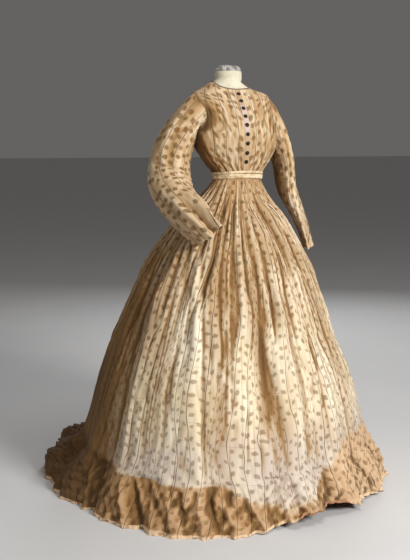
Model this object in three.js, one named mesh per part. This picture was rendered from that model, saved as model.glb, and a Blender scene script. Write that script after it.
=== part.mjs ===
// A printed cotton summer dress of the 1860s on a limbless dress form with a pole and a round base.
// Units are millimetres, +Z is up, the wearer faces -Y and the wearer's left is +X.
// The origin is on the floor, under the centre of the waist, at the centre of the base.
import * as THREE from "three";

// Driving dimensions
const WAIST_Z = 1090;
const NECK_SIDE_Z = 1420;
const NECK_FRONT_DROP = 31;
const NECK_BACK_DROP = 3;
const WAIST_ARCH = 7;
const LEAN = 0.24;
const BODICE_WALL = 1.8;
const SLEEVE_WALL = 1.8;
const SKIRT_WALL = 2;
const SEAM_GAP = 0.3;
const DEG = Math.PI / 180;

// The armhole is an oval on the torso, given by its lowest and highest point and its half-width as an angle.
const ARMHOLE_LOW = 1245;
const ARMHOLE_HIGH = 1380;
const ARMHOLE_SPREAD = 38 * DEG;
const ARMHOLE_STEPS = 6;
const EDGE_TRIM = 0.1 * DEG;

// Sections of the bodice's outside: half-width, depth in front, depth behind, and squareness, where 2 is
// an ellipse.
const TORSO = [
  { z: 1090, half: 86, front: 66, back: 78, square: 2 },
  { z: 1110, half: 96, front: 73, back: 81, square: 2.05 },
  { z: 1140, half: 121, front: 85, back: 85, square: 2.15 },
  { z: 1175, half: 141, front: 101, back: 88, square: 2.25 },
  { z: 1210, half: 150, front: 114, back: 91, square: 2.3 },
  { z: 1245, half: 153, front: 120, back: 93, square: 2.3 },
  { z: 1280, half: 155, front: 118, back: 93, square: 2.3 },
  { z: 1315, half: 156, front: 107, back: 91, square: 2.25 },
  { z: 1345, half: 154, front: 92, back: 84, square: 2.15 },
  { z: 1365, half: 149, front: 80, back: 78, square: 2.1 },
  { z: 1380, half: 137, front: 72, back: 73, square: 2 },
  { z: 1395, half: 109, front: 66, back: 68, square: 2 },
  { z: 1408, half: 85, front: 62, back: 64, square: 2 },
  { z: 1420, half: 64, front: 59, back: 61, square: 2 },
];

// Folds of the bodice front above the waist: place across the panel, width and height.
const FRONT_GATHERS = [
  { at: 0.2, width: 0.07, height: 3.6 },
  { at: 0.36, width: 0.07, height: 4.2 },
  { at: 0.52, width: 0.07, height: 3.6 },
  { at: 0.68, width: 0.07, height: 2.4 },
];
const GATHER_TOP = 1262;
const GATHER_SPREAD = 0.25;
const GATHER_SHAPE = 0.6;
const BODICE_LOW_ROWS = [1090, 1104, 1122, 1146, 1178, 1212];
const BODICE_HIGH_ROWS = [1393, 1407, NECK_SIDE_Z];
const FRONT_COLUMNS = 12;
const BACK_COLUMNS = 14;

// Skirt by angle from the front, + to the wearer's left: radius of the cone at the floor, radius of the hem,
// height of the hem above the floor, how far the train puffs up before it falls to its hem, and how full
// the cone is at half its height.
const HEM = [
  { angle: -195, cone: 676, hem: 910, lift: 0, puff: 0.62, full: 1 },
  { angle: -180, cone: 682, hem: 948, lift: 0, puff: 0.55, full: 1 },
  { angle: -165, cone: 676, hem: 910, lift: 0, puff: 0.62, full: 1 },
  { angle: -145, cone: 660, hem: 785, lift: 0, puff: 0.85, full: 1 },
  { angle: -125, cone: 646, hem: 727, lift: 0, puff: 1, full: 1 },
  { angle: -110, cone: 642, hem: 706, lift: 0, puff: 0.9, full: 1 },
  { angle: -95, cone: 641, hem: 684, lift: 0, puff: 0.45, full: 1 },
  { angle: -80, cone: 642, hem: 660, lift: 0, puff: 0.1, full: 0.95 },
  { angle: -62, cone: 655, hem: 657, lift: 0, puff: 0, full: 0.85 },
  { angle: -45, cone: 661, hem: 662, lift: 0, puff: 0, full: 0.7 },
  { angle: -30, cone: 646, hem: 647, lift: 0, puff: 0, full: 0.6 },
  { angle: -18, cone: 608, hem: 608, lift: 4, puff: 0, full: 0.5 },
  { angle: -6, cone: 582, hem: 580, lift: 14, puff: 0, full: 0.4 },
  { angle: 8, cone: 562, hem: 556, lift: 26, puff: 0, full: 0.3 },
  { angle: 22, cone: 556, hem: 552, lift: 20, puff: 0, full: 0.2 },
  { angle: 36, cone: 542, hem: 540, lift: 10, puff: 0, full: 0.1 },
  { angle: 51, cone: 546, hem: 550, lift: 0, puff: 0, full: 0 },
  { angle: 78, cone: 552, hem: 556, lift: 0, puff: 0, full: 0.1 },
  { angle: 105, cone: 575, hem: 598, lift: 0, puff: 0.25, full: 0.4 },
  { angle: 130, cone: 625, hem: 705, lift: 0, puff: 0.8, full: 0.7 },
  { angle: 150, cone: 662, hem: 822, lift: 0, puff: 0.75, full: 0.9 },
  { angle: 165, cone: 676, hem: 910, lift: 0, puff: 0.62, full: 1 },
  { angle: 180, cone: 682, hem: 948, lift: 0, puff: 0.55, full: 1 },
  { angle: 195, cone: 676, hem: 910, lift: 0, puff: 0.62, full: 1 },
];
// How far the cone has opened, from 0 at the belt to 1 at the floor, against the drop below the belt, for
// the slimmest and the fullest side.
const FLARE = [
  { drop: 0, slim: 0, full: 0 },
  { drop: 0.03, slim: 0.035, full: 0.05 },
  { drop: 0.07, slim: 0.095, full: 0.13 },
  { drop: 0.12, slim: 0.19, full: 0.235 },
  { drop: 0.2, slim: 0.3, full: 0.36 },
  { drop: 0.3, slim: 0.42, full: 0.475 },
  { drop: 0.4, slim: 0.505, full: 0.57 },
  { drop: 0.5, slim: 0.58, full: 0.655 },
  { drop: 0.6, slim: 0.68, full: 0.73 },
  { drop: 0.7, slim: 0.765, full: 0.79 },
  { drop: 0.8, slim: 0.833, full: 0.84 },
  { drop: 0.9, slim: 0.905, full: 0.91 },
  { drop: 1, slim: 1, full: 1 },
];
const SKIRT_TOP = 1082;
const FLARE_TOP = 1074;
const SKIRT_TOP_EASE = 0.8;
const ARCH_FADE = 120;
const KNEE_Z = 150;
const SKIRT_ROWS = [SKIRT_TOP, FLARE_TOP, 1056, 1014, 940, 830, 680, 510, 330, KNEE_Z];
const TRAIN_ROWS = [0.35, 0.7, 0.92, 1];
// Height of the puffed train against its share of the way out from the knee row to the hem.
const TRAIN_PROFILE = [
  { share: 0, height: KNEE_Z },
  { share: 0.35, height: 104 },
  { share: 0.7, height: 86 },
  { share: 0.92, height: 54 },
  { share: 1, height: 0 },
];
// Two orders of folds: fine gathers that fade downwards, and broad folds that grow. Heights by drop.
const GATHERS = 32;
const BROAD_FOLDS = 16;
const COLUMNS_PER_GATHER = 4;
const HEM_FOLD_LOSS = 0.35;
const FOLD_SET_BACK = 0.8;
const FOLD_DRIFT = 0.8;
const UNEVEN_BY_THIRDS = 0.3;
const UNEVEN_BY_FIFTHS = 0.2;
const MOST_UNEVEN = 1 + UNEVEN_BY_THIRDS + UNEVEN_BY_FIFTHS;
const FOLD_HEIGHTS = [
  { drop: 0, fine: 1.2, broad: 0 },
  { drop: 0.02, fine: 3, broad: 0.5 },
  { drop: 0.06, fine: 6, broad: 3 },
  { drop: 0.14, fine: 8, broad: 6 },
  { drop: 0.25, fine: 7, broad: 9 },
  { drop: 0.5, fine: 4, broad: 13 },
  { drop: 0.8, fine: 2, broad: 16 },
  { drop: 1, fine: 1, broad: 18 },
];
const SKIRT_PANELS = [
  { name: "skirt_front", from: -45, to: 45 },
  { name: "skirt_left_side", from: 45, to: 112.5 },
  { name: "skirt_left_back", from: 112.5, to: 146.25 },
  { name: "skirt_left_train", from: 146.25, to: 180 },
  { name: "skirt_right_train", from: -180, to: -146.25 },
  { name: "skirt_right_back", from: -146.25, to: -112.5 },
  { name: "skirt_right_side", from: -112.5, to: -45 },
];

// Sleeves: centre of each ring, half-size outwards from the body, half-size towards the front, and how
// far the ring is turned about its length, in degrees.
const RIGHT_SLEEVE = [
  { x: -162, y: 46, z: 1290, outward: 52, forward: 60, turn: 0 },
  { x: -196, y: 47, z: 1240, outward: 60, forward: 63, turn: 0 },
  { x: -222, y: 48, z: 1185, outward: 66, forward: 67, turn: 0 },
  { x: -236, y: 45, z: 1132, outward: 71, forward: 72, turn: 0 },
  { x: -245, y: 30, z: 1082, outward: 73, forward: 76, turn: 0 },
  { x: -250, y: -8, z: 1036, outward: 70, forward: 76, turn: 0 },
  { x: -248, y: -62, z: 1000, outward: 63, forward: 74, turn: 0 },
  { x: -240, y: -118, z: 968, outward: 54, forward: 68, turn: 0 },
  { x: -226, y: -172, z: 934, outward: 44, forward: 62, turn: 0 },
  { x: -205, y: -222, z: 896, outward: 33, forward: 55, turn: 0 },
];
const LEFT_SLEEVE = [
  { x: 152, y: 47, z: 1288, outward: 40, forward: 56, turn: 0 },
  { x: 173, y: 48, z: 1234, outward: 40, forward: 60, turn: 0 },
  { x: 194, y: 50, z: 1180, outward: 38, forward: 64, turn: 3 },
  { x: 210, y: 50, z: 1128, outward: 35, forward: 68, turn: 6 },
  { x: 217, y: 50, z: 1078, outward: 34, forward: 70, turn: 10 },
  { x: 232, y: 50, z: 1024, outward: 33, forward: 68, turn: 15 },
  { x: 260, y: 49, z: 968, outward: 28, forward: 66, turn: 20 },
  { x: 285, y: 47, z: 914, outward: 23, forward: 62, turn: 24 },
  { x: 303, y: 44, z: 862, outward: 17, forward: 57, turn: 25 },
  { x: 314, y: 41, z: 820, outward: 13, forward: 53, turn: 25 },
];
const SLEEVE_COLUMNS = 24;
const SLEEVE_ROWS = 14;
const ARMHOLE_INSET = 0.7;
const ARMHOLE_EASE = 3;
const ARMHOLE_BLEND_ROWS = 2.5;
const SLEEVE_CLEARANCE = 2.6;
const CUFF_WAVES = 4;
const CUFF_WAVE_HEIGHT = 4;
const CUFF_FADE = 0.24;
const CUFF_PHASE = 0.6;
const CUFF_SLANT = 0.68;
const CUFF_SLANT_WAY = 34 * DEG;
const CUFF_SLANT_FADE = 0.34;
const SLEEVE_HEAD_TILT = 0.9;
const SLEEVE_TILT = 0.25;
const SLEEVE_HEAD_SHARE = 0.2;

// Closure, waist and neck trimmings
const PLACKET_STEPS = [5, 10];
const PLACKET_WALL = 1.2;
const PLACKET_LOW_Z = 1103;
const BUTTON_COUNT = 9;
const BUTTON_RADIUS = 6.5;
const BUTTON_HEIGHT = 4;
const BUTTON_TOP_Z = 1374;
const BUTTON_LOW_Z = 1138;
const BINDING_HEIGHT = 4;
const BINDING_WALL = 3;
const BINDING_SLOPE = 0.25;
const TRIM_STAND_OFF = 3.4;
const BAND_LOW = 2.5;
const BAND_HEIGHT = 9;
const BAND_WALL = 1.6;
const BELT_LOW = -14;
const BELT_HEIGHT = 15;
const BELT_WALL = 1.8;
const BELT_TWIST = 1;
const BELT_TWIST_PHASE = 0.6;
const BELT_CROWN = 0.6;
const BELT_OVERLAP = 22 * DEG;
const BELT_START = 35 * DEG;
const BELT_RAMP_START = 1.6;
const BELT_RAMP_END = 1.1;
const WAIST_COLUMNS = 36;

// Dress form and stand
const FORM_GAP = 1.5;
const FORM_EASE = 4;
const FORM_LOW_Z = 1078;
const SEATED_NEAR_WAIST = 40;
const SEATED_ABOVE = 1320;
const SHOULDER_Z = 1375;
const SHOULDER_REACH = 15;
const SHOULDER_EASE = 2.6;
const HIPS = [
  { z: 905, half: 100, front: 68, back: 82, y: 6 },
  { z: 930, half: 118, front: 82, back: 96, y: 6 },
  { z: 975, half: 120, front: 84, back: 98, y: 5 },
  { z: 1020, half: 98, front: 73, back: 84, y: 3 },
  { z: 1055, half: 83, front: 63, back: 74, y: 1 },
];
const NECK_Y = 82;
const FORM_NECK = [
  { z: 1407, half: 59, depth: 55.5 },
  { z: 1418, half: 58, depth: 53.5 },
  { z: 1432, half: 53, depth: 51 },
  { z: 1445, half: 50, depth: 49 },
  { z: 1456, half: 48, depth: 48 },
];
const FORM_COLUMNS = 24;
const CAP_PROFILE = [
  { z: 1456.3, radius: 46.5 },
  { z: 1462, radius: 46.5 },
  { z: 1468, radius: 42.5 },
  { z: 1474, radius: 33 },
  { z: 1477, radius: 14 },
];
const POLE_RADIUS = 14;
const COLLAR_RADIUS = 45;
const COLLAR_HEIGHT = 12;
const BASE_RADIUS = 175;
const BASE_THICKNESS = 12;
const BASE_EDGE = 5;
const BASE_BOSS_RADIUS = 30;
const BASE_BOSS_HEIGHT = 34;

// Materials
const cloth = (colour) => new THREE.MeshStandardMaterial({ color: colour, roughness: 0.9, metalness: 0 });
const printed = cloth(0xcdb087);
const pale = cloth(0xcfc0b0);
const trim = cloth(0xd9c4a0);
const calico = cloth(0xd8d3c0);
const black = new THREE.MeshStandardMaterial({ color: 0x14100e, roughness: 0.35, metalness: 0 });
const painted = new THREE.MeshStandardMaterial({ color: 0x1f1f21, roughness: 0.5, metalness: 0 });

// Value of one column of a table at a place in another column, by a smooth curve through the rows.
function read(rows, key, at, column) {
  let i = 0;
  while (i < rows.length - 2 && rows[i + 1][key] < at) i++;
  const a = rows[i];
  const b = rows[i + 1];
  const before = rows[Math.max(i - 1, 0)];
  const after = rows[Math.min(i + 2, rows.length - 1)];
  const span = b[key] - a[key];
  const t = Math.min(Math.max((at - a[key]) / span, 0), 1);
  const slope = (p, q) => ((q[column] - p[column]) / (q[key] - p[key])) * span;
  const m0 = slope(before, b);
  const m1 = slope(a, after);
  const t2 = t * t;
  const t3 = t2 * t;
  return (2 * t3 - 3 * t2 + 1) * a[column] + (t3 - 2 * t2 + t) * m0
    + (3 * t2 - 2 * t3) * b[column] + (t3 - t2) * m1;
}

const power = (value, exponent) => Math.sign(value) * Math.abs(value) ** exponent;

// A point on the outside of the torso. Angle 0 is the wearer's left, -90 degrees the front.
function torso(angle, z) {
  const exponent = 2 / read(TORSO, "z", z, "square");
  const c = Math.cos(angle);
  const s = Math.sin(angle);
  const depth = read(TORSO, "z", z, s < 0 ? "front" : "back");
  const x = read(TORSO, "z", z, "half") * power(c, exponent);
  const y = LEAN * (z - WAIST_Z) + depth * power(s, exponent);
  return new THREE.Vector3(x, y, z);
}

function torsoNormal(angle, z) {
  const da = 0.02;
  const dz = 1.5;
  const across = torso(angle + da, z).sub(torso(angle - da, z));
  const up = torso(angle, z + dz).sub(torso(angle, z - dz));
  return across.cross(up).normalize();
}

// A closed wall between an outer grid of points and the same grid moved inwards.
function wall(outer, inner, wraps) {
  const rows = outer.length;
  const columns = outer[0].length;
  const points = [...outer.flat(), ...inner.flat()];
  const faces = [];
  const index = (layer, j, i) => layer * rows * columns + j * columns + (i % columns);
  const quad = (a, b, c, d) => faces.push(a, b, c, a, c, d);
  const last = wraps ? columns : columns - 1;
  for (let j = 0; j < rows - 1; j++) {
    for (let i = 0; i < last; i++) {
      quad(index(0, j, i), index(0, j, i + 1), index(0, j + 1, i + 1), index(0, j + 1, i));
      quad(index(1, j, i), index(1, j + 1, i), index(1, j + 1, i + 1), index(1, j, i + 1));
    }
    if (!wraps) {
      quad(index(0, j, 0), index(0, j + 1, 0), index(1, j + 1, 0), index(1, j, 0));
      quad(index(0, j, last), index(1, j, last), index(1, j + 1, last), index(0, j + 1, last));
    }
  }
  for (let i = 0; i < last; i++) {
    quad(index(0, 0, i), index(1, 0, i), index(1, 0, i + 1), index(0, 0, i + 1));
    const top = rows - 1;
    quad(index(0, top, i), index(0, top, i + 1), index(1, top, i + 1), index(1, top, i));
  }
  return solid(points, faces);
}

// A closed body through rings of points, with a flat fan on its first and last ring.
function loft(rings) {
  const columns = rings[0].length;
  const points = rings.flat();
  const faces = [];
  for (let j = 0; j < rings.length - 1; j++) {
    for (let i = 0; i < columns; i++) {
      const a = j * columns + i;
      const b = j * columns + ((i + 1) % columns);
      faces.push(a, b, b + columns, a, b + columns, a + columns);
    }
  }
  for (const ring of [0, rings.length - 1]) {
    const centre = points.length;
    const middle = new THREE.Vector3();
    rings[ring].forEach((p) => middle.add(p));
    points.push(middle.divideScalar(columns));
    for (let i = 0; i < columns; i++) {
      const a = ring * columns + i;
      const b = ring * columns + ((i + 1) % columns);
      faces.push(centre, ring ? a : b, ring ? b : a);
    }
  }
  return solid(points, faces);
}

// Geometry from points and faces, turned so that its faces point out.
function solid(points, faces) {
  let volume = 0;
  for (let f = 0; f < faces.length; f += 3) {
    const [a, b, c] = [points[faces[f]], points[faces[f + 1]], points[faces[f + 2]]];
    volume += a.dot(new THREE.Vector3().crossVectors(b, c));
  }
  if (volume < 0) faces.reverse();
  const geometry = new THREE.BufferGeometry().setFromPoints(points);
  geometry.setIndex(faces);
  geometry.computeVertexNormals();
  return geometry;
}

function mesh(name, geometry, material) {
  const made = new THREE.Mesh(geometry, material);
  made.name = name;
  return made;
}

const range = (count) => Array.from({ length: count + 1 }, (_, k) => k / count);

// How far the armhole reaches round the torso at a height.
function armholeReach(z) {
  const middle = (ARMHOLE_LOW + ARMHOLE_HIGH) / 2;
  const t = (z - middle) / ((ARMHOLE_HIGH - ARMHOLE_LOW) / 2);
  return Math.abs(t) < 1 ? ARMHOLE_SPREAD * Math.sqrt(1 - t * t) : 0;
}

// Heights of a bodice panel's rows at the side seam, armhole and shoulder seam.
function bodiceRows() {
  const middle = (ARMHOLE_LOW + ARMHOLE_HIGH) / 2;
  const reach = (ARMHOLE_HIGH - ARMHOLE_LOW) / 2;
  const armhole = range(ARMHOLE_STEPS).map((t) => middle - reach * Math.cos(t * Math.PI));
  return [...BODICE_LOW_ROWS, ...armhole, ...BODICE_HIGH_ROWS];
}

const neckline = (angle) => NECK_SIDE_Z - (Math.sin(angle) < 0 ? NECK_FRONT_DROP : NECK_BACK_DROP)
  * Math.sin(angle) ** 2;
const waistline = (angle) => WAIST_Z + WAIST_ARCH * Math.max(-Math.sin(angle), 0) ** 2;

// Height on the torso of a row that is at sideZ on the side of the body.
function rowHeight(angle, sideZ) {
  const t = (sideZ - WAIST_Z) / (NECK_SIDE_Z - WAIST_Z);
  return waistline(angle) + t * (neckline(angle) - waistline(angle));
}

// Height of the bodice front's gathers above the plain surface, across the panel and up it.
function gatherHeight(u, z) {
  const rise = Math.min(Math.max((z - WAIST_Z) / (GATHER_TOP - WAIST_Z), 0), 1);
  const fade = Math.sin(Math.PI * rise ** GATHER_SHAPE);
  return FRONT_GATHERS.reduce((sum, fold) => {
    const centre = fold.at * (1 + GATHER_SPREAD * rise);
    return sum + fade * fold.height * Math.exp(-(((u - centre) / fold.width) ** 2));
  }, 0);
}

// One row of the bodice front from the front edge to the side or armhole: its points and normals on the
// wearer's left. Its first columns are the placket's half-width.
function frontRow(sideZ) {
  const end = -armholeReach(sideZ) - EDGE_TRIM;
  const near = [0, ...PLACKET_STEPS].map((x) => {
    const z = rowHeight(-90 * DEG, sideZ);
    const ratio = x / read(TORSO, "z", z, "half");
    return -90 * DEG + Math.asin(ratio ** (read(TORSO, "z", z, "square") / 2));
  });
  const last = near.at(-1);
  const rest = range(FRONT_COLUMNS - near.length + 1).slice(1).map((t) => last + t * (end - last));
  return [...near, ...rest].map((angle, column) => {
    const z = rowHeight(angle, sideZ);
    const normal = torsoNormal(angle, z);
    const plain = torso(angle, z);
    if (column === 0) plain.x = SEAM_GAP / 2;
    const u = (angle + 90 * DEG) / (end + 90 * DEG);
    const raised = plain.clone().addScaledVector(normal, gatherHeight(u, z));
    return { plain, normal, raised };
  });
}

const mirrored = (point, side) => new THREE.Vector3(point.x * side, point.y, point.z);

function bodiceFront(side) {
  const rows = bodiceRows().map(frontRow);
  const outer = rows.map((row) => row.map((c) => mirrored(c.raised, side)));
  const inner = rows.map((row) => row.map(
    (c) => mirrored(c.plain.clone().addScaledVector(c.normal, -BODICE_WALL), side),
  ));
  return wall(outer, inner, false);
}

function bodiceBack() {
  const outer = [];
  const inner = [];
  for (const sideZ of bodiceRows()) {
    const start = armholeReach(sideZ) + EDGE_TRIM;
    const angles = range(BACK_COLUMNS).map((u) => start + u * (180 * DEG - 2 * start));
    const surface = angles.map((angle) => [torso(angle, rowHeight(angle, sideZ)),
      torsoNormal(angle, rowHeight(angle, sideZ))]);
    outer.push(surface.map(([p]) => p));
    inner.push(surface.map(([p, n]) => p.clone().addScaledVector(n, -BODICE_WALL)));
  }
  return wall(outer, inner, false);
}

// The armhole's edge as a closed loop through the rows of the bodice. Turn 0 is under the arm, a quarter
// turn the front, half a turn the top.
function armholePoint(turn, side) {
  const corner = (step) => {
    const at = (step * Math.PI) / ARMHOLE_STEPS;
    const sideZ = (ARMHOLE_LOW + ARMHOLE_HIGH) / 2 - ((ARMHOLE_HIGH - ARMHOLE_LOW) / 2) * Math.cos(at);
    const angle = -ARMHOLE_SPREAD * Math.sin(at);
    return torso(angle, rowHeight(angle, sideZ));
  };
  const step = (turn * ARMHOLE_STEPS) / Math.PI;
  const below = Math.floor(step + 1e-6);
  return mirrored(corner(below).lerp(corner(below + 1), step - below), side);
}

// A sleeve's point moved out, where it has to be, until it lies clear of the bodice and of the skirt.
function clearOfBody(p) {
  const square = read(TORSO, "z", p.z, "square");
  const middle = LEAN * (p.z - WAIST_Z);
  const depth = read(TORSO, "z", p.z, p.y < middle ? "front" : "back") + SLEEVE_CLEARANCE;
  const half = read(TORSO, "z", p.z, "half") + SLEEVE_CLEARANCE;
  const inside = (Math.abs(p.x) / half) ** square + (Math.abs(p.y - middle) / depth) ** square;
  if (p.z > WAIST_Z && inside < 1) {
    const grow = inside ** (-1 / square);
    p.x *= grow;
    p.y = middle + (p.y - middle) * grow;
  }
  if (p.z < SKIRT_TOP) {
    const angle = Math.atan2(p.x, -p.y);
    const skirt = coneRadius(angle, p.z) + crestHeight(dropAt(p.z)) + SLEEVE_CLEARANCE;
    const reach = Math.hypot(p.x, p.y);
    if (reach < skirt) {
      p.x *= skirt / reach;
      p.y *= skirt / reach;
    }
  }
  return p;
}

function sleeve(rings, side, slant) {
  const turns = range(SLEEVE_COLUMNS).slice(0, -1).map((t) => t * 2 * Math.PI);
  const edge = turns.map((turn) => armholePoint(turn, side));
  const centre = edge.reduce((sum, p) => sum.add(p), new THREE.Vector3()).divideScalar(edge.length);
  const path = new THREE.CatmullRomCurve3([centre, ...rings.map((r) => new THREE.Vector3(r.x, r.y, r.z))]);
  const sizes = [rings[0], ...rings].map((r, k) => ({ ...r, s: k / rings.length }));
  const outer = [];
  const inner = [];
  range(SLEEVE_ROWS).forEach((s, row) => {
    const c = path.getPoint(s);
    const along = path.getTangent(s);
    const rise = SLEEVE_TILT + SLEEVE_HEAD_TILT * Math.max(0, 1 - s / SLEEVE_HEAD_SHARE);
    const out = new THREE.Vector3(side, 0, rise);
    out.addScaledVector(along, -out.dot(along)).normalize();
    const front = new THREE.Vector3().crossVectors(along, out).multiplyScalar(side);
    const twist = read(sizes, "s", s, "turn") * DEG;
    const outAxis = out.clone().multiplyScalar(Math.cos(twist)).addScaledVector(front, Math.sin(twist));
    const frontAxis = front.clone().multiplyScalar(Math.cos(twist)).addScaledVector(out, -Math.sin(twist));
    const wave = CUFF_WAVE_HEIGHT * Math.max(0, (s - 1 + CUFF_FADE) / CUFF_FADE);
    const slope = slant * Math.max(0, (s - 1 + CUFF_SLANT_FADE) / CUFF_SLANT_FADE) ** 2;
    const own = Math.min(row / ARMHOLE_BLEND_ROWS, 1);
    const middle = row ? c : centre;
    const ring = turns.map((turn, k) => {
      const ruffle = wave * Math.cos(CUFF_WAVES * turn + CUFF_PHASE);
      const outward = -Math.cos(turn) * (read(sizes, "s", s, "outward") + ruffle);
      const forward = Math.sin(turn) * (read(sizes, "s", s, "forward") + ruffle);
      const longer = slope * (outward * Math.cos(CUFF_SLANT_WAY) + forward * Math.sin(CUFF_SLANT_WAY));
      const p = c.clone().addScaledVector(outAxis, outward).addScaledVector(frontAxis, forward)
        .addScaledVector(along, longer);
      const start = edge[k].clone().lerp(centre, ARMHOLE_INSET / edge[k].distanceTo(centre));
      start.x += side * row * ARMHOLE_EASE;
      const point = start.lerp(p, own);
      return row ? clearOfBody(point) : point;
    });
    outer.push(ring);
    inner.push(ring.map((p) => p.clone().lerp(middle, SLEEVE_WALL / p.distanceTo(middle))));
  });
  return wall(outer, inner, true);
}

// Skirt radius at the waist by angle from the front.
function waistRadius(angle) {
  const { half, front, back } = TORSO[0];
  const depth = Math.cos(angle) > 0 ? front : back;
  return 1 / Math.hypot(Math.sin(angle) / half, Math.cos(angle) / depth);
}

const hemValue = (angle, column) => read(HEM, "angle", angle / DEG, column);
const dropAt = (z) => Math.max(0, (FLARE_TOP - z) / FLARE_TOP);

// Radius of the skirt's smooth cone at a height.
function coneRadius(angle, z) {
  const top = waistRadius(angle) + SKIRT_TOP_EASE;
  const slim = read(FLARE, "drop", dropAt(z), "slim");
  const full = read(FLARE, "drop", dropAt(z), "full");
  return top + (hemValue(angle, "cone") - top) * (slim + (full - slim) * hemValue(angle, "full"));
}

// The skirt's smooth surface. A row is a height down to the knee row, or a share of the way from there
// to the hem.
function skirtBase(angle, row) {
  let radius;
  let z;
  if (row.share === undefined) {
    const fade = Math.max(0, 1 - (SKIRT_TOP - row.z) / ARCH_FADE);
    z = row.z + WAIST_ARCH * Math.max(Math.cos(angle), 0) ** 2 * fade;
    radius = coneRadius(angle, row.z);
  } else {
    const knee = coneRadius(angle, KNEE_Z);
    const lift = hemValue(angle, "lift");
    const plain = lift + (KNEE_Z - lift) * (1 - row.share);
    const puffed = read(TRAIN_PROFILE, "share", row.share, "height");
    radius = knee + (hemValue(angle, "hem") - knee) * row.share;
    z = plain + (puffed - plain) * hemValue(angle, "puff");
  }
  return new THREE.Vector3(radius * Math.sin(angle), -radius * Math.cos(angle), z);
}

// Height of the folds above the smooth surface, whose broad folds lie mostly behind it.
function foldHeight(angle, drop) {
  const fine = read(FOLD_HEIGHTS, "drop", drop, "fine");
  const broad = read(FOLD_HEIGHTS, "drop", drop, "broad");
  const thirds = UNEVEN_BY_THIRDS * Math.sin(3 * angle + 1);
  const fifths = UNEVEN_BY_FIFTHS * Math.sin(5 * angle + 2.2);
  const uneven = 1 + thirds + fifths;
  const drift = FOLD_DRIFT * Math.sin(2 * angle);
  return fine * Math.cos(GATHERS * angle) * (1.5 - 0.5 * uneven)
    + broad * (Math.cos(BROAD_FOLDS * angle + drift) - FOLD_SET_BACK) * uneven;
}

// The most that the folds stand above the smooth surface.
const crestHeight = (drop) => (1.5 - 0.5 * (2 - MOST_UNEVEN)) * read(FOLD_HEIGHTS, "drop", drop, "fine")
  + MOST_UNEVEN * (1 - FOLD_SET_BACK) * read(FOLD_HEIGHTS, "drop", drop, "broad");

const onCircle = (a) => (a > Math.PI ? a - 2 * Math.PI : a < -Math.PI ? a + 2 * Math.PI : a);

// A point of the skirt's smooth surface with the directions along the row and out of the cloth.
function skirtSurface(angle, row) {
  const point = skirtBase(angle, row);
  const turn = 0.01;
  const along = skirtBase(onCircle(angle + turn), row)
    .sub(skirtBase(onCircle(angle - turn), row)).normalize();
  const above = row.share === undefined ? { z: row.z + 2 } : { share: row.share - 0.02 };
  const below = row.share === undefined ? { z: row.z - 2 } : { share: Math.min(row.share + 0.02, 1) };
  const down = skirtBase(angle, below).sub(skirtBase(angle, above)).normalize();
  const normal = new THREE.Vector3().crossVectors(along, down).normalize();
  if (normal.x * point.x + normal.y * point.y < 0) normal.negate();
  return { point, along, normal };
}

function skirtPanel(panel) {
  const rows = [...SKIRT_ROWS.map((z) => ({ z })), ...TRAIN_ROWS.map((share) => ({ share }))];
  const count = Math.round(((panel.to - panel.from) * GATHERS * COLUMNS_PER_GATHER) / 360);
  const outer = [];
  const inner = [];
  for (const row of rows) {
    const out = [];
    const within = [];
    for (const t of range(count)) {
      const angle = (panel.from + t * (panel.to - panel.from)) * DEG;
      const { point, along, normal } = skirtSurface(angle, row);
      const drop = row.share === undefined ? dropAt(row.z) : 1;
      const fold = foldHeight(angle, drop) * (1 - HEM_FOLD_LOSS * (row.share ?? 0));
      const edge = t === 0 ? 1 : t === 1 ? -1 : 0;
      const outward = new THREE.Vector3(Math.sin(angle), -Math.cos(angle), 0);
      const tilt = row.share === undefined ? 1 : hemValue(angle, "puff") * (1 - row.share);
      const away = outward.lerp(normal, tilt).normalize();
      const p = point.addScaledVector(along, (edge * SEAM_GAP) / 2).addScaledVector(away, fold);
      const q = p.clone().addScaledVector(away, -SKIRT_WALL);
      out.push(p);
      within.push(q);
    }
    outer.push(out);
    inner.push(within);
  }
  return wall(outer, inner, false);
}

// A strip round the torso at a height that changes with the angle, standing off by some distance.
function waistStrip(angles, lowZ, height, standOff, thickness, crown, wraps) {
  const steps = crown ? [0, 0.5, 1] : [0, 1];
  const strip = (extra) => steps.map((t) => angles.map((angle, k) => {
    const z = lowZ(angle) + t * height;
    const outward = new THREE.Vector3(Math.cos(angle), Math.sin(angle), 0);
    const off = standOff(k / (angles.length - 1)) + extra * (thickness + 4 * crown * t * (1 - t));
    return torso(angle, Math.max(z, WAIST_Z)).setZ(z).addScaledVector(outward, off);
  }));
  return wall(strip(1), strip(0), wraps);
}

const bandLow = (angle) => waistline(angle) + BAND_LOW;
const beltLow = (angle) => waistline(angle) + BELT_LOW + BELT_TWIST * Math.sin(2 * angle + BELT_TWIST_PHASE);

function waistBand() {
  const angles = range(WAIST_COLUMNS).slice(0, -1).map((t) => t * 2 * Math.PI);
  return waistStrip(angles, bandLow, BAND_HEIGHT, () => TRIM_STAND_OFF, BAND_WALL, 0, true);
}

// The belt goes once round and its end lies over its start, at the wearer's left front.
function belt() {
  const turn = 2 * Math.PI + BELT_OVERLAP;
  const angles = range(WAIST_COLUMNS + 4).map((t) => -90 * DEG + BELT_START + t * turn);
  const lift = BELT_WALL + BELT_CROWN + 2 * SEAM_GAP;
  const rampStart = 1 - (BELT_OVERLAP * BELT_RAMP_START) / turn;
  const rampEnd = 1 - (BELT_OVERLAP * BELT_RAMP_END) / turn;
  const standOff = (t) => TRIM_STAND_OFF
    + lift * Math.min(Math.max((t - rampStart) / (rampEnd - rampStart), 0), 1);
  return waistStrip(angles, beltLow, BELT_HEIGHT, standOff, BELT_WALL, BELT_CROWN, false);
}

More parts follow.
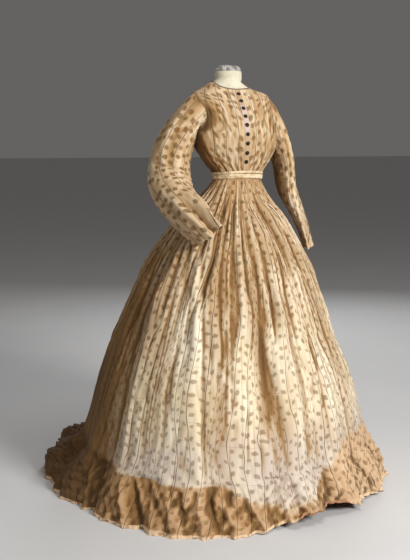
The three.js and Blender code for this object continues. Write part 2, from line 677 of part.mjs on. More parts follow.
function neckBinding() {
  const angles = range(WAIST_COLUMNS).slice(0, -1).map((t) => t * 2 * Math.PI);
  const ring = (rise, inwards) => angles.map((angle) => {
    const outward = new THREE.Vector3(Math.cos(angle), Math.sin(angle), 0);
    const p = torso(angle, neckline(angle));
    return p.setZ(p.z + rise).addScaledVector(outward, -rise * BINDING_SLOPE - inwards);
  });
  const rises = [SEAM_GAP, BINDING_HEIGHT];
  return wall(rises.map((rise) => ring(rise, 0)), rises.map((rise) => ring(rise, BINDING_WALL)), true);
}

// The placket is a strip over the front edges, made from the bodice's own points and moved out.
function placketGrid(off) {
  const rows = bodiceRows().filter((z) => z > PLACKET_LOW_Z).map(frontRow);
  return rows.map((row) => {
    const half = row.slice(1, PLACKET_STEPS.length + 1)
      .map((c) => c.raised.clone().addScaledVector(c.normal, off));
    const middle = row[0].raised.clone().addScaledVector(row[0].normal, off).setX(0);
    return [...half.map((p) => mirrored(p, -1)).reverse(), middle, ...half];
  });
}

function placket() {
  return wall(placketGrid(SEAM_GAP + PLACKET_WALL), placketGrid(SEAM_GAP), false);
}

// Places of the buttons, evenly spaced along the middle of the placket.
function buttonPlaces() {
  const line = placketGrid(SEAM_GAP + PLACKET_WALL).map((row) => row[PLACKET_STEPS.length]);
  const at = (z) => {
    const k = Math.min(Math.max(line.findIndex((p) => p.z >= z), 1), line.length - 1);
    return (z - line[k - 1].z) / (line[k].z - line[k - 1].z) + k - 1;
  };
  const top = at(BUTTON_TOP_Z);
  const steps = range(200).map((t) => top + t * (at(BUTTON_LOW_Z) - top));
  const pointAt = (s) => {
    const k = Math.min(Math.floor(s), line.length - 2);
    return line[k].clone().lerp(line[k + 1], s - k);
  };
  const walk = [0];
  steps.slice(1).forEach((s, k) => walk.push(walk[k] + pointAt(s).distanceTo(pointAt(steps[k]))));
  return range(BUTTON_COUNT - 1).map((t) => {
    const step = steps[walk.findIndex((w) => w >= t * walk.at(-1) - 1e-6)];
    const k = Math.min(Math.floor(step), line.length - 2);
    const up = line[k + 1].clone().sub(line[k]);
    return { point: pointAt(step), normal: new THREE.Vector3(0, -up.z, up.y).normalize() };
  });
}

function button() {
  const profile = [
    [0, 0], [BUTTON_RADIUS * 0.9, 0], [BUTTON_RADIUS, BUTTON_HEIGHT * 0.3],
    [BUTTON_RADIUS * 0.78, BUTTON_HEIGHT * 0.8], [0, BUTTON_HEIGHT],
  ].map(([r, h]) => new THREE.Vector2(r, h));
  return new THREE.LatheGeometry(profile, 12);
}

function ringAt(half, front, back, centreY, z) {
  return range(FORM_COLUMNS).slice(0, -1).map((t) => {
    const angle = t * 2 * Math.PI;
    const s = Math.sin(angle);
    return new THREE.Vector3(half * Math.cos(angle), centreY + (s < 0 ? front : back) * s, z);
  });
}

// The dress form: hips, torso under the bodice, and neck, as one smooth body.
function dressForm() {
  const rings = HIPS.map((h) => ringAt(h.half, h.front, h.back, h.y, h.z));
  const spread = range(FORM_COLUMNS).slice(0, -1).map((t) => t * 2 * Math.PI);
  const insetAt = (z) => {
    const nearWaist = Math.max(0, 1 - Math.abs(z - WAIST_Z) / SEATED_NEAR_WAIST);
    const nearShoulder = Math.min(Math.max((z - SEATED_ABOVE) / SEATED_NEAR_WAIST, 0), 1);
    const shoulder = SHOULDER_EASE * Math.max(0, 1 - ((z - SHOULDER_Z) / SHOULDER_REACH) ** 2);
    return BODICE_WALL + FORM_GAP + FORM_EASE * (1 - Math.max(nearWaist, nearShoulder)) + shoulder;
  };
  const inside = (angle, z) => torso(angle, z).addScaledVector(torsoNormal(angle, z), -insetAt(z));
  rings.push(spread.map((angle) => inside(angle, WAIST_Z).setZ(FORM_LOW_Z)));
  for (const sideZ of bodiceRows().slice(0, -2)) {
    rings.push(spread.map((angle) => inside(angle, rowHeight(angle, sideZ))));
  }
  for (const neck of FORM_NECK) {
    rings.push(ringAt(neck.half, neck.depth, neck.depth, NECK_Y, neck.z));
  }
  return loft(rings);
}

const formCap = () => loft(CAP_PROFILE.map((c) => ringAt(c.radius, c.radius, c.radius, NECK_Y, c.z)));

function lathe(profile, segments) {
  const points = profile.map(([r, z]) => new THREE.Vector2(r, z));
  return new THREE.LatheGeometry(points, segments).rotateX(90 * DEG);
}

function pole() {
  const low = BASE_BOSS_HEIGHT + SEAM_GAP;
  const high = HIPS[0].z - SEAM_GAP;
  return lathe([[0, low], [POLE_RADIUS, low], [POLE_RADIUS, high - COLLAR_HEIGHT],
    [COLLAR_RADIUS, high - COLLAR_HEIGHT], [COLLAR_RADIUS, high], [0, high]], 16);
}

function base() {
  return lathe([[0, 0], [BASE_RADIUS, 0], [BASE_RADIUS, BASE_THICKNESS - BASE_EDGE],
    [BASE_RADIUS - BASE_EDGE, BASE_THICKNESS], [BASE_BOSS_RADIUS + BASE_EDGE, BASE_THICKNESS],
    [BASE_BOSS_RADIUS, BASE_THICKNESS + BASE_EDGE], [BASE_BOSS_RADIUS - BASE_EDGE, BASE_BOSS_HEIGHT],
    [0, BASE_BOSS_HEIGHT]], 32);
}

const dress = new THREE.Group();
dress.add(mesh("bodice_front_left", bodiceFront(1), printed));
dress.add(mesh("bodice_front_right", bodiceFront(-1), printed));
dress.add(mesh("bodice_back", bodiceBack(), printed));
dress.add(mesh("neck_binding", neckBinding(), trim));
dress.add(mesh("front_placket", placket(), pale));
dress.add(mesh("waist_band", waistBand(), trim));
dress.add(mesh("belt", belt(), trim));
dress.add(mesh("sleeve_right", sleeve(RIGHT_SLEEVE, -1, CUFF_SLANT), printed));
dress.add(mesh("sleeve_left", sleeve(LEFT_SLEEVE, 1, 0), printed));
for (const panel of SKIRT_PANELS) dress.add(mesh(panel.name, skirtPanel(panel), printed));
buttonPlaces().forEach(({ point, normal }, k) => {
  const made = mesh(`button_${k + 1}`, button(), black);
  made.position.copy(point).addScaledVector(normal, SEAM_GAP);
  made.quaternion.setFromUnitVectors(new THREE.Vector3(0, 1, 0), normal);
  dress.add(made);
});
dress.add(mesh("form_torso", dressForm(), calico));
dress.add(mesh("form_neck_cap", formCap(), calico));
dress.add(mesh("form_pole", pole(), painted));
dress.add(mesh("form_base", base(), painted));

export default dress;
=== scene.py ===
import math

import bpy
import numpy as np
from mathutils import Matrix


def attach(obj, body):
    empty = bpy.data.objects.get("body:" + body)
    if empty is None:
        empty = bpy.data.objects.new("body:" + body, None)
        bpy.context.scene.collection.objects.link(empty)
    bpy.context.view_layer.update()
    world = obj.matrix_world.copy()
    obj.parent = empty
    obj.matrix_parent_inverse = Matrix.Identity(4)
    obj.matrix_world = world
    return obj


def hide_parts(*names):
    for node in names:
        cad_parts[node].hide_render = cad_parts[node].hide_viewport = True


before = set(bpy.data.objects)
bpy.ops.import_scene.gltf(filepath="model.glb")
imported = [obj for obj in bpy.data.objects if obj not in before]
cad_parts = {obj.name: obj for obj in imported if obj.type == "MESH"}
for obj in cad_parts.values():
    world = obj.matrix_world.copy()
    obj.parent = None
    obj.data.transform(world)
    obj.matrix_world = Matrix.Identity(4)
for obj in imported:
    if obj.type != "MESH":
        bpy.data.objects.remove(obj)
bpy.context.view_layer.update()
DEG = math.pi / 180
MM = 0.001
FULL_TURN = 2 * math.pi
FRONT_ANGLE = -90 * DEG

# Driving sizes, the same as the solids have
WAIST_Z = 1.090
NECK_SIDE_Z = 1.420
NECK_FRONT_DROP = 0.031
NECK_BACK_DROP = 0.003
NECK_DRAWN_IN = 0.011
SHOULDER_DROP = 0.009
WAIST_ARCH = 0.007
LEAN = 0.24
SEAM_GAP = 0.0003
CLOTH = 0.0010
ARMHOLE_LOW = 1.245
ARMHOLE_HIGH = 1.380
ARMHOLE_MIDDLE = (ARMHOLE_LOW + ARMHOLE_HIGH) / 2
ARMHOLE_HALF = (ARMHOLE_HIGH - ARMHOLE_LOW) / 2
ARMHOLE_SPREAD = 38 * DEG
EDGE_TRIM = 0.1 * DEG

# Sections of the bodice's outside: height, half-width, depth in front, depth behind, squareness
HALF, FRONT, BACK, SQUARE = 1, 2, 3, 4
TORSO = np.array([
    (1.090, 0.086, 0.066, 0.078, 2.00),
    (1.110, 0.096, 0.073, 0.081, 2.05),
    (1.140, 0.121, 0.085, 0.085, 2.15),
    (1.175, 0.141, 0.101, 0.088, 2.25),
    (1.210, 0.150, 0.114, 0.091, 2.30),
    (1.245, 0.153, 0.120, 0.093, 2.30),
    (1.280, 0.155, 0.118, 0.093, 2.30),
    (1.315, 0.156, 0.107, 0.091, 2.25),
    (1.345, 0.154, 0.092, 0.084, 2.15),
    (1.365, 0.149, 0.080, 0.078, 2.10),
    (1.380, 0.137, 0.072, 0.073, 2.00),
    (1.395, 0.109, 0.066, 0.068, 2.00),
    (1.408, 0.085, 0.062, 0.064, 2.00),
    (1.420, 0.064, 0.059, 0.061, 2.00),
])

# Folds of the bodice front above the waist, as the solid has them: place across the panel, width, height
FRONT_GATHERS = [
    (0.20, 0.07, 0.0036),
    (0.36, 0.07, 0.0042),
    (0.52, 0.07, 0.0036),
    (0.68, 0.07, 0.0024),
]
GATHER_TOP = 1.262
GATHER_SPREAD = 0.25
GATHER_SHAPE = 0.6
# The fine gathers between them, and those of the back: place across, width, height, and where each ends
FINE_GATHERS = [
    (0.13, 0.022, 0.0022, 1.185),
    (0.18, 0.016, -0.0018, 1.230),
    (0.25, 0.020, 0.0026, 1.200),
    (0.30, 0.014, -0.0020, 1.270),
    (0.41, 0.022, 0.0026, 1.240),
    (0.46, 0.014, -0.0022, 1.200),
    (0.58, 0.024, 0.0024, 1.260),
    (0.63, 0.015, -0.0020, 1.210),
    (0.76, 0.024, 0.0020, 1.215),
    (0.86, 0.022, 0.0014, 1.180),
]
BACK_GATHERS = [
    (0.38, 0.030, 0.0022, 1.180),
    (0.44, 0.020, 0.0024, 1.225),
    (0.49, 0.016, 0.0026, 1.205),
    (0.53, 0.018, 0.0023, 1.235),
    (0.59, 0.026, 0.0022, 1.185),
]
# Drawn folds of the bodice front: width, height, then the places and heights that each runs through.
# Places go from the middle, 0, to the side seam, 1.
BODICE_CREASES = [
    (0.050, 0.0022, [(0.62, 1.155), (0.70, 1.210), (0.84, 1.262)]),
    (0.040, -0.0018, [(0.70, 1.150), (0.80, 1.200), (0.92, 1.240)]),
    (0.045, 0.0018, [(0.34, 1.190), (0.38, 1.260), (0.46, 1.330), (0.52, 1.372)]),
    (0.035, -0.0016, [(0.44, 1.200), (0.50, 1.270), (0.60, 1.330)]),
    (0.050, 0.0020, [(0.55, 1.290), (0.75, 1.305), (0.93, 1.330)]),
    (0.040, -0.0016, [(0.58, 1.268), (0.76, 1.282), (0.93, 1.300)]),
    (0.040, 0.0015, [(0.14, 1.230), (0.16, 1.290), (0.22, 1.345)]),
    (0.050, 0.0016, [(0.30, 1.365), (0.55, 1.352), (0.80, 1.362)]),
]
# Small folds that cross each other: waves round the piece, waves a metre along it, height
BODICE_CRUMPLE = [
    (9, -4.0, 0.0010),
    (14, 6.0, 0.0009),
    (6, 13.0, 0.0010),
    (21, -9.0, 0.0006),
    (11, 24.0, 0.0005),
]

# Skirt by angle from the front: radius of the cone at the floor, of the hem, lift, puff of the train, and
# how full the cone is at half its height
CONE, HEM_RADIUS, LIFT, PUFF, FULL = 1, 2, 3, 4, 5
HEM = np.array([
    (-195, 0.676, 0.910, 0, 0.62, 1),
    (-180, 0.682, 0.948, 0, 0.55, 1),
    (-165, 0.676, 0.910, 0, 0.62, 1),
    (-145, 0.660, 0.785, 0, 0.85, 1),
    (-125, 0.646, 0.727, 0, 1, 1),
    (-110, 0.642, 0.706, 0, 0.9, 1),
    (-95, 0.641, 0.684, 0, 0.45, 1),
    (-80, 0.642, 0.660, 0, 0.1, 0.95),
    (-62, 0.655, 0.657, 0, 0, 0.85),
    (-45, 0.661, 0.662, 0, 0, 0.7),
    (-30, 0.646, 0.647, 0, 0, 0.6),
    (-18, 0.608, 0.608, 0.004, 0, 0.5),
    (-6, 0.582, 0.580, 0.014, 0, 0.4),
    (8, 0.562, 0.556, 0.026, 0, 0.3),
    (22, 0.556, 0.552, 0.020, 0, 0.2),
    (36, 0.542, 0.540, 0.010, 0, 0.1),
    (51, 0.546, 0.550, 0, 0, 0),
    (78, 0.552, 0.556, 0, 0, 0.1),
    (105, 0.575, 0.598, 0, 0.25, 0.4),
    (130, 0.625, 0.705, 0, 0.8, 0.7),
    (150, 0.662, 0.822, 0, 0.75, 0.9),
    (165, 0.676, 0.910, 0, 0.62, 1),
    (180, 0.682, 0.948, 0, 0.55, 1),
    (195, 0.676, 0.910, 0, 0.62, 1),
])
SLIM, FULLEST = 1, 2
FLARE = np.array([
    (0.00, 0.000, 0.000),
    (0.03, 0.035, 0.050),
    (0.07, 0.095, 0.130),
    (0.12, 0.190, 0.235),
    (0.20, 0.300, 0.360),
    (0.30, 0.420, 0.475),
    (0.40, 0.505, 0.570),
    (0.50, 0.580, 0.655),
    (0.60, 0.680, 0.730),
    (0.70, 0.765, 0.790),
    (0.80, 0.833, 0.840),
    (0.90, 0.905, 0.910),
    (1.00, 1.000, 1.000),
])
SKIRT_TOP = 1.082
FLARE_TOP = 1.074
SKIRT_TOP_EASE = 0.0008
ARCH_FADE = 0.120
KNEE_Z = 0.150
TRAIN_PROFILE = np.array([
    (0.00, KNEE_Z),
    (0.35, 0.104),
    (0.70, 0.086),
    (0.92, 0.054),
    (1.00, 0.000),
])
GATHERS = 32
BROAD_FOLDS = 16
HEM_FOLD_LOSS = 0.35
FOLD_SET_BACK = 0.8
FOLD_DRIFT = 0.8
UNEVEN_BY_THIRDS = 0.3
UNEVEN_BY_FIFTHS = 0.2
MOST_UNEVEN = 1 + UNEVEN_BY_THIRDS + UNEVEN_BY_FIFTHS
FINE, BROAD = 1, 2
FOLD_HEIGHTS = np.array([
    (0.00, 0.0012, 0.0000),
    (0.02, 0.0030, 0.0005),
    (0.06, 0.0060, 0.0030),
    (0.14, 0.0080, 0.0060),
    (0.25, 0.0070, 0.0090),
    (0.50, 0.0040, 0.0130),
    (0.80, 0.0020, 0.0160),
    (1.00, 0.0010, 0.0180),
])
SKIRT_PANELS = [
    ("skirt_front", -45.0, 45.0),
    ("skirt_left_side", 45.0, 112.5),
    ("skirt_left_back", 112.5, 146.25),
    ("skirt_left_train", 146.25, 180.0),
    ("skirt_right_train", -180.0, -146.25),
    ("skirt_right_back", -146.25, -112.5),
    ("skirt_right_side", -112.5, -45.0),
]

# Main creases of the skirt: width, height, then the heights and angles that the crease runs through.
# A positive height is a ridge and a negative one a trough.
CREASES = [
    (0.026, 0.0085, [(0.93, -58), (0.84, -53.5), (0.70, -44.4), (0.55, -41.3),
                      (0.40, -39.1), (0.13, -36.6)]),
    (0.008, -0.0060, [(0.90, -52), (0.84, -49.5), (0.70, -41.4),
                      (0.55, -38.6), (0.40, -36.8), (0.16, -34.6)]),
    (0.006, 0.0040, [(0.92, -42), (0.80, -40), (0.62, -35.5), (0.44, -33)]),
    (0.005, -0.0040, [(0.96, -38), (0.80, -36), (0.66, -33), (0.50, -31)]),
    (0.006, 0.0045, [(1.00, -34), (0.85, -31), (0.60, -28.5), (0.30, -27)]),
    (0.016, -0.0110, [(1.03, -14), (0.95, -13.5), (0.85, -12.6),
                      (0.69, -11.6), (0.52, -10.6), (0.40, -9.6)]),
    (0.012, 0.0060, [(1.00, -6), (0.85, -6.2), (0.69, -5.6), (0.50, -4.6), (0.30, -3.4)]),
    (0.007, 0.0040, [(1.00, 9), (0.85, 9), (0.66, 10), (0.50, 11), (0.34, 11.5)]),
    (0.008, -0.0050, [(1.02, 22), (0.85, 21), (0.66, 20), (0.40, 18.5), (0.20, 18)]),
    (0.010, -0.0060, [(0.72, 44), (0.50, 41), (0.30, 36), (0.10, 32)]),
    (0.010, 0.0050, [(0.80, -72), (0.60, -69), (0.40, -67), (0.18, -66)]),
    (0.009, -0.0050, [(0.90, -80), (0.66, -77), (0.40, -75), (0.18, -74)]),
    (0.009, 0.0050, [(0.85, 84), (0.60, 80), (0.36, 78), (0.16, 77)]),
    (0.010, -0.0060, [(0.90, 118), (0.62, 121), (0.34, 124)]),
    (0.012, 0.0060, [(0.96, 148), (0.62, 145), (0.30, 143)]),
    (0.010, -0.0060, [(0.98, 172), (0.70, 174), (0.36, 176)]),
    (0.012, 0.0060, [(0.95, -154), (0.66, -151), (0.34, -150)]),
    (0.009, -0.0055, [(0.92, -128), (0.60, -126), (0.30, -125)]),
]
# Creases of the hem band: width, height, the angle at the band's top and the angle at the floor
HEM_CREASES = [
    (0.010, 0.0130, -84, -77),
    (0.016, -0.0150, -79, -72),
    (0.011, 0.0170, -64, -57.5),
    (0.012, -0.0130, -60, -52.5),
    (0.012, 0.0090, -52, -49),
    (0.014, 0.0100, -47, -42),
    (0.010, -0.0100, -43, -38.5),
    (0.014, 0.0150, -37, -33.5),
    (0.009, -0.0120, -34.5, -30),
    (0.012, 0.0080, -30, -25),
    (0.012, -0.0110, -24, -19),
    (0.008, 0.0120, -23.5, -15.5),
    (0.008, -0.0090, -17, -12.5),
    (0.012, 0.0130, -9.5, -7),
    (0.012, -0.0140, -5, -2.5),
    (0.010, 0.0100, 2, 4),
    (0.009, -0.0080, 13, 9),
    (0.010, 0.0090, 27, 22),
    (0.010, -0.0090, 44, 37),
    (0.011, -0.0170, 55, 66),
    (0.009, 0.0120, 60, 73),
    (0.012, 0.0100, 96, 101),
    (0.012, -0.0100, 121, 117),
    (0.014, 0.0120, 150, 154),
    (0.014, -0.0120, 173, 170),
    (0.014, 0.0120, -162, -158),
    (0.014, -0.0120, -140, -144),
    (0.012, 0.0110, -112, -106),
    (0.012, -0.0120, -98, -92),
]
# Where the hem's edge is turned up and shows its inside, by angle: how far, from 0 to 1
HEM_ROLL = np.array([
    (-195, 0.0), (-60, 0.0), (-15, 0.0), (-9, 0.25), (-3, 0.85), (3, 0.7), (9, 1.0), (15, 0.8), (20, 0.15),
    (24, 0.0), (36, 0.0), (60, 0.0), (195, 0.0),
])
# Small folds that cross each other, as on the bodice
HEM_CRUMPLE = [
    (23, 4.0, 0.0055),
    (41, -9.0, 0.0060),
    (67, 13.0, 0.0042),
    (97, -21.0, 0.0030),
    (59, 27.0, 0.0030),
    (131, 6.0, 0.0018),
]
TRAIN_CRUMPLE = [
    (29, 4.0, 0.0085),
    (53, -12.0, 0.0075),
    (17, 31.0, 0.0065),
    (83, 19.0, 0.0040),
    (44, -44.0, 0.0040),
]
SKIRT_CRUMPLE = [
    (61, -3.0, 0.0012),
    (83, 5.0, 0.0010),
    (37, 7.0, 0.0014),
    (46, -14.0, 0.0011),
]
# Gathers that hang from the waist: seed, how many, then the least and most of where they start, their
# length, width and height, and how far they may lean
SMALL_GATHERS = [
    (101, 64, (1.00, 1.10), (0.20, 0.95), (0.005, 0.011), (-0.0085, -0.0030), 0.06),
    (102, 50, (0.70, 1.07), (0.20, 0.60), (0.007, 0.014), (0.0025, 0.0065), 0.06),
    (103, 90, (1.05, 1.10), (0.06, 0.30), (0.005, 0.009), (-0.0055, -0.0020), 0.20),
    (104, 54, (0.40, 0.95), (0.15, 0.45), (0.005, 0.010), (-0.0050, -0.0020), 0.10),
    (105, 27, (1.00, 1.09), (0.35, 0.80), (0.009, 0.016), (-0.0150, -0.0080), 0.10),
    (106, 21, (0.90, 1.06), (0.25, 0.60), (0.009, 0.015), (0.0050, 0.0100), 0.14),
]
# Long streaks of painted shade and painted highlight on the skirt: width, strength, then the heights and
# angles that each runs through.
# Painted shade where the cloth sinks inwards, painted highlight where it stands out.
SHADE_STREAKS = [
    (0.040, 0.75, [(1.00, -42), (0.82, -38), (0.60, -34), (0.40, -31), (0.20, -29)]),
    (0.030, 0.80, [(1.03, -16), (0.85, -14.5), (0.62, -13.5), (0.45, -12.5), (0.30, -10)]),
    (0.020, 0.55, [(0.90, -27), (0.75, -25), (0.60, -24)]),
    (0.030, 0.45, [(0.70, 3), (0.50, 1), (0.30, -3), (0.16, -6)]),
    (0.026, 0.50, [(0.95, 24), (0.70, 22), (0.40, 19), (0.22, 17)]),
    (0.050, 0.55, [(0.80, 50), (0.55, 46), (0.30, 40), (0.15, 36)]),
    (0.040, 0.60, [(0.80, -62), (0.50, -56), (0.25, -54)]),
    (0.050, 0.60, [(0.90, -96), (0.55, -90), (0.25, -88)]),
    (0.050, 0.50, [(0.90, -132), (0.55, -128), (0.25, -126)]),
    (0.050, 0.50, [(0.90, 96), (0.55, 92), (0.25, 90)]),
    (0.050, 0.50, [(0.90, 140), (0.55, 136), (0.25, 134)]),
    (0.050, 0.50, [(0.90, 172), (0.55, 170), (0.25, 168)]),
]
HIGHLIGHT_STREAKS = [
    (0.024, 0.85, [(0.90, -56), (0.84, -53.5), (0.70, -44.4), (0.55, -41.3), (0.40, -39.1), (0.13, -36.6)]),
    (0.022, 0.55, [(1.02, -8), (0.85, -7), (0.60, -5.5), (0.35, -4)]),
    (0.030, 0.45, [(0.95, -24), (0.80, -22), (0.55, -20.5), (0.35, -19)]),
    (0.040, 0.45, [(0.70, -52), (0.45, -47), (0.25, -45)]),
    (0.050, 0.45, [(0.80, 14), (0.55, 13), (0.30, 11)]),
    (0.050, 0.35, [(0.80, 34), (0.50, 31), (0.28, 27)]),
]
# Where the paler skirt ends above the hem, by angle: the height of that border
HEM_BAND = np.array([
    (-195, 0.150), (-180, 0.150), (-140, 0.170), (-110, 0.175), (-80, 0.165), (-66, 0.150), (-48, 0.140),
    (-30, 0.138), (-23, 0.105), (-14, 0.066), (-4, 0.058), (6, 0.080), (16, 0.150), (28, 0.205),
    (50, 0.215), (90, 0.185), (130, 0.160), (180, 0.150), (195, 0.150),
])

# Sleeves: centre of each ring, half-size outwards, half-size towards the front, turn in degrees
OUTWARD, FORWARD, TURN = 4, 5, 6
RIGHT_SLEEVE = [
    (-0.162, 0.046, 1.290, 0.052, 0.060, 0),
    (-0.196, 0.047, 1.240, 0.060, 0.063, 0),
    (-0.222, 0.048, 1.185, 0.066, 0.067, 0),
    (-0.236, 0.045, 1.132, 0.071, 0.072, 0),
    (-0.245, 0.030, 1.082, 0.073, 0.076, 0),
    (-0.250, -0.008, 1.036, 0.070, 0.076, 0),
    (-0.248, -0.062, 1.000, 0.063, 0.074, 0),
    (-0.240, -0.118, 0.968, 0.054, 0.068, 0),
    (-0.226, -0.172, 0.934, 0.044, 0.062, 0),
    (-0.205, -0.222, 0.896, 0.033, 0.055, 0),
]
LEFT_SLEEVE = [
    (0.152, 0.047, 1.288, 0.040, 0.056, 0),
    (0.173, 0.048, 1.234, 0.040, 0.060, 0),
    (0.194, 0.050, 1.180, 0.038, 0.064, 3),
    (0.210, 0.050, 1.128, 0.035, 0.068, 6),
    (0.217, 0.050, 1.078, 0.034, 0.070, 10),
    (0.232, 0.050, 1.024, 0.033, 0.068, 15),
    (0.260, 0.049, 0.968, 0.028, 0.066, 20),
    (0.285, 0.047, 0.914, 0.023, 0.062, 24),
    (0.303, 0.044, 0.862, 0.017, 0.057, 25),
    (0.314, 0.041, 0.820, 0.013, 0.053, 25),
]
SOLID_SLEEVE_ROWS = 14
SLEEVE_CRUMPLE = [
    (3, 4.0, 0.0009),
    (5, -7.0, 0.0010),
    (2, 21.0, 0.0009),
    (8, 13.0, 0.0006),
    (4, -33.0, 0.0005),
]
# Main creases of the sleeves: width in radians, height, then the turns in degrees and the shares of the
# length that each runs through. Turn 0 faces the body, 90 the front, 180 outwards.
RIGHT_CREASES = [
    (0.16, 0.0045, [(150, 0.10), (142, 0.30), (128, 0.52)]),
    (0.13, -0.0040, [(128, 0.14), (120, 0.30), (104, 0.50)]),
    (0.12, 0.0035, [(96, 0.08), (92, 0.25), (86, 0.46)]),
    (0.30, 0.0045, [(176, 0.55), (164, 0.70), (158, 0.86)]),
    (0.18, 0.0110, [(158, 0.78), (150, 0.90), (146, 1.06)]),
    (0.13, -0.0120, [(138, 0.82), (126, 0.92), (120, 1.06)]),
    (0.18, 0.0130, [(108, 0.78), (100, 0.90), (94, 1.06)]),
    (0.11, -0.0150, [(82, 0.80), (72, 0.90), (66, 1.06)]),
    (0.16, 0.0120, [(54, 0.78), (46, 0.90), (38, 1.06)]),
    (0.20, 0.0060, [(-60, 0.60), (-80, 0.80), (-90, 1.04)]),
    (0.20, -0.0060, [(-100, 0.50), (-120, 0.75), (-130, 1.04)]),
    (0.15, 0.0040, [(-150, 0.20), (-160, 0.50), (-165, 0.80)]),
]
LEFT_CREASES = [
    (0.20, 0.0040, [(120, 0.12), (116, 0.35), (100, 0.60)]),
    (0.16, -0.0045, [(98, 0.16), (92, 0.40), (84, 0.66)]),
    (0.20, 0.0035, [(70, 0.30), (64, 0.50), (60, 0.78)]),
    (0.18, -0.0035, [(120, 0.66), (104, 0.80), (96, 0.96)]),
    (0.16, 0.0035, [(86, 0.62), (80, 0.80), (76, 1.02)]),
    (0.20, 0.0030, [(-80, 0.20), (-90, 0.50), (-100, 0.80)]),
    (0.18, -0.0030, [(-120, 0.30), (-130, 0.60), (-140, 0.85)]),
]
# Folds across the sleeves: width as a share of the length, height, then the turns and shares that each
# runs through
RIGHT_CROSSING = [
    (0.014, -0.0045, [(10, 0.52), (60, 0.50), (110, 0.465), (165, 0.43)]),
    (0.012, 0.0035, [(10, 0.55), (60, 0.54), (110, 0.515), (160, 0.49)]),
    (0.013, -0.0045, [(14, 0.58), (60, 0.585), (104, 0.58), (140, 0.565)]),
    (0.012, 0.0035, [(18, 0.61), (64, 0.63), (110, 0.645), (150, 0.65)]),
    (0.012, -0.0035, [(24, 0.64), (64, 0.675), (104, 0.71), (136, 0.74)]),
    (0.014, 0.0030, [(100, 0.16), (130, 0.20), (165, 0.26)]),
    (0.012, -0.0030, [(60, 0.13), (100, 0.19), (140, 0.27)]),
]
LEFT_CROSSING = [
    (0.014, -0.0032, [(50, 0.44), (90, 0.47), (130, 0.52)]),
    (0.012, 0.0028, [(50, 0.49), (90, 0.51), (130, 0.55)]),
    (0.012, -0.0028, [(40, 0.58), (80, 0.56), (120, 0.59)]),
    (0.012, 0.0026, [(60, 0.18), (100, 0.22), (140, 0.30)]),
    (0.012, -0.0028, [(50, 0.26), (90, 0.24), (130, 0.20)]),
    (0.012, -0.0026, [(60, 0.70), (90, 0.73), (120, 0.71)]),
]
ARMHOLE_INSET = 0.0007
ARMHOLE_EASE = 0.003
ARMHOLE_BLEND_ROWS = 2.5
SLEEVE_CLEARANCE = 0.0026
CUFF_WAVES = 4
CUFF_WAVE_HEIGHT = 0.004
CUFF_FADE = 0.24
CUFF_PHASE = 0.6
CUFF_SLANT = 0.68
CUFF_SLANT_WAY = 34 * DEG
CUFF_SLANT_FADE = 0.34
SLEEVE_HEAD_TILT = 0.9
SLEEVE_TILT = 0.25
SLEEVE_HEAD_SHARE = 0.2

# Closure, waist and neck trimmings
PLACKET_HALF = 0.010
PLACKET_WALL = 0.0012
PLACKET_LOW_Z = 1.104
BUTTON_COUNT = 9
BUTTON_RADIUS = 0.0073
BUTTON_HEIGHT = 0.004
BUTTON_TOP_Z = 1.374
BUTTON_LOW_Z = 1.138
BINDING_HEIGHT = 0.004
BINDING_WALL = 0.003
BINDING_SLOPE = 0.25
TRIM_STAND_OFF = 0.0034
BAND_LOW = 0.0025
BAND_HEIGHT = 0.009
BAND_WALL = 0.0016
BELT_LOW = -0.014
BELT_HEIGHT = 0.015
BELT_WALL = 0.0018
BELT_TWIST = 0.001
BELT_TWIST_PHASE = 0.6
BELT_CROWN = 0.0006
BELT_OVERLAP = 22 * DEG
BELT_START = 35 * DEG
BELT_RAMP_START = 1.6
BELT_RAMP_END = 1.1
BAND_WAVES, BELT_WAVES = 0.0009, 0.0011
PIPING_RADIUS, PIPING_STAND_OFF = 0.0008, 0.0007
BUTTONHOLE_HALF, BUTTONHOLE_OFFSET = 0.0038, 0.0056
BUTTONHOLE_WIDTH, BUTTONHOLE_HEIGHT = 0.0009, 0.0005
PLACKET_RIPPLE, PLACKET_EDGE = 0.00035, 0.0006

# Stitches: length, gap, width, and how far they stand off the cloth
HEM_STITCH = (0.0028, 0.0022, 0.0005, 0.0003)
PLACKET_STITCH = (0.0022, 0.0016, 0.0004, 0.0002)
CUFF_STITCH = (0.0024, 0.0018, 0.0004, 0.0003)
HEM_STITCH_RISE = 0.030

# Dress form and stand
FORM_GAP = 0.0015
FORM_WALL = 0.0018
FORM_EASE = 0.004
FORM_LOW_Z = 1.078
SEATED_NEAR_WAIST = 0.040
SEATED_ABOVE = 1.320
SHOULDER_Z = 1.375
SHOULDER_REACH = 0.015
SHOULDER_EASE = 0.0026
HIPS = [
    (0.905, 0.100, 0.068, 0.082, 0.006),
    (0.930, 0.118, 0.082, 0.096, 0.006),
    (0.975, 0.120, 0.084, 0.098, 0.005),
    (1.020, 0.098, 0.073, 0.084, 0.003),
    (1.055, 0.083, 0.063, 0.074, 0.001),
]
NECK_Y = 0.082
FORM_NECK = [
    (1.4185, 0.0596, 0.0562),
    (1.430, 0.0490, 0.0490),
    (1.445, 0.0488, 0.0486),
    (1.456, 0.048, 0.048),
]
CAP_PROFILE = [(1.4563, 0.0465), (1.462, 0.0465), (1.468, 0.0425), (1.474, 0.033), (1.477, 0.014)]
POLE_RADIUS = 0.014
COLLAR_RADIUS = 0.045
COLLAR_HEIGHT = 0.012
BASE_RADIUS = 0.175
BASE_THICKNESS = 0.012
BASE_EDGE = 0.005
BASE_BOSS_RADIUS = 0.030
BASE_BOSS_HEIGHT = 0.034

# The print: lengthwise lines, crosswise lines, and two columns of leaves between the lines
STRIPE = 0.047
CROSS_LINE = 0.060
LEAF_ROW = 0.036
LEAF_HALF_LENGTH = 0.0094
LEAF_HALF_WIDTH = 0.0062
PRINT_RADIUS = 0.64
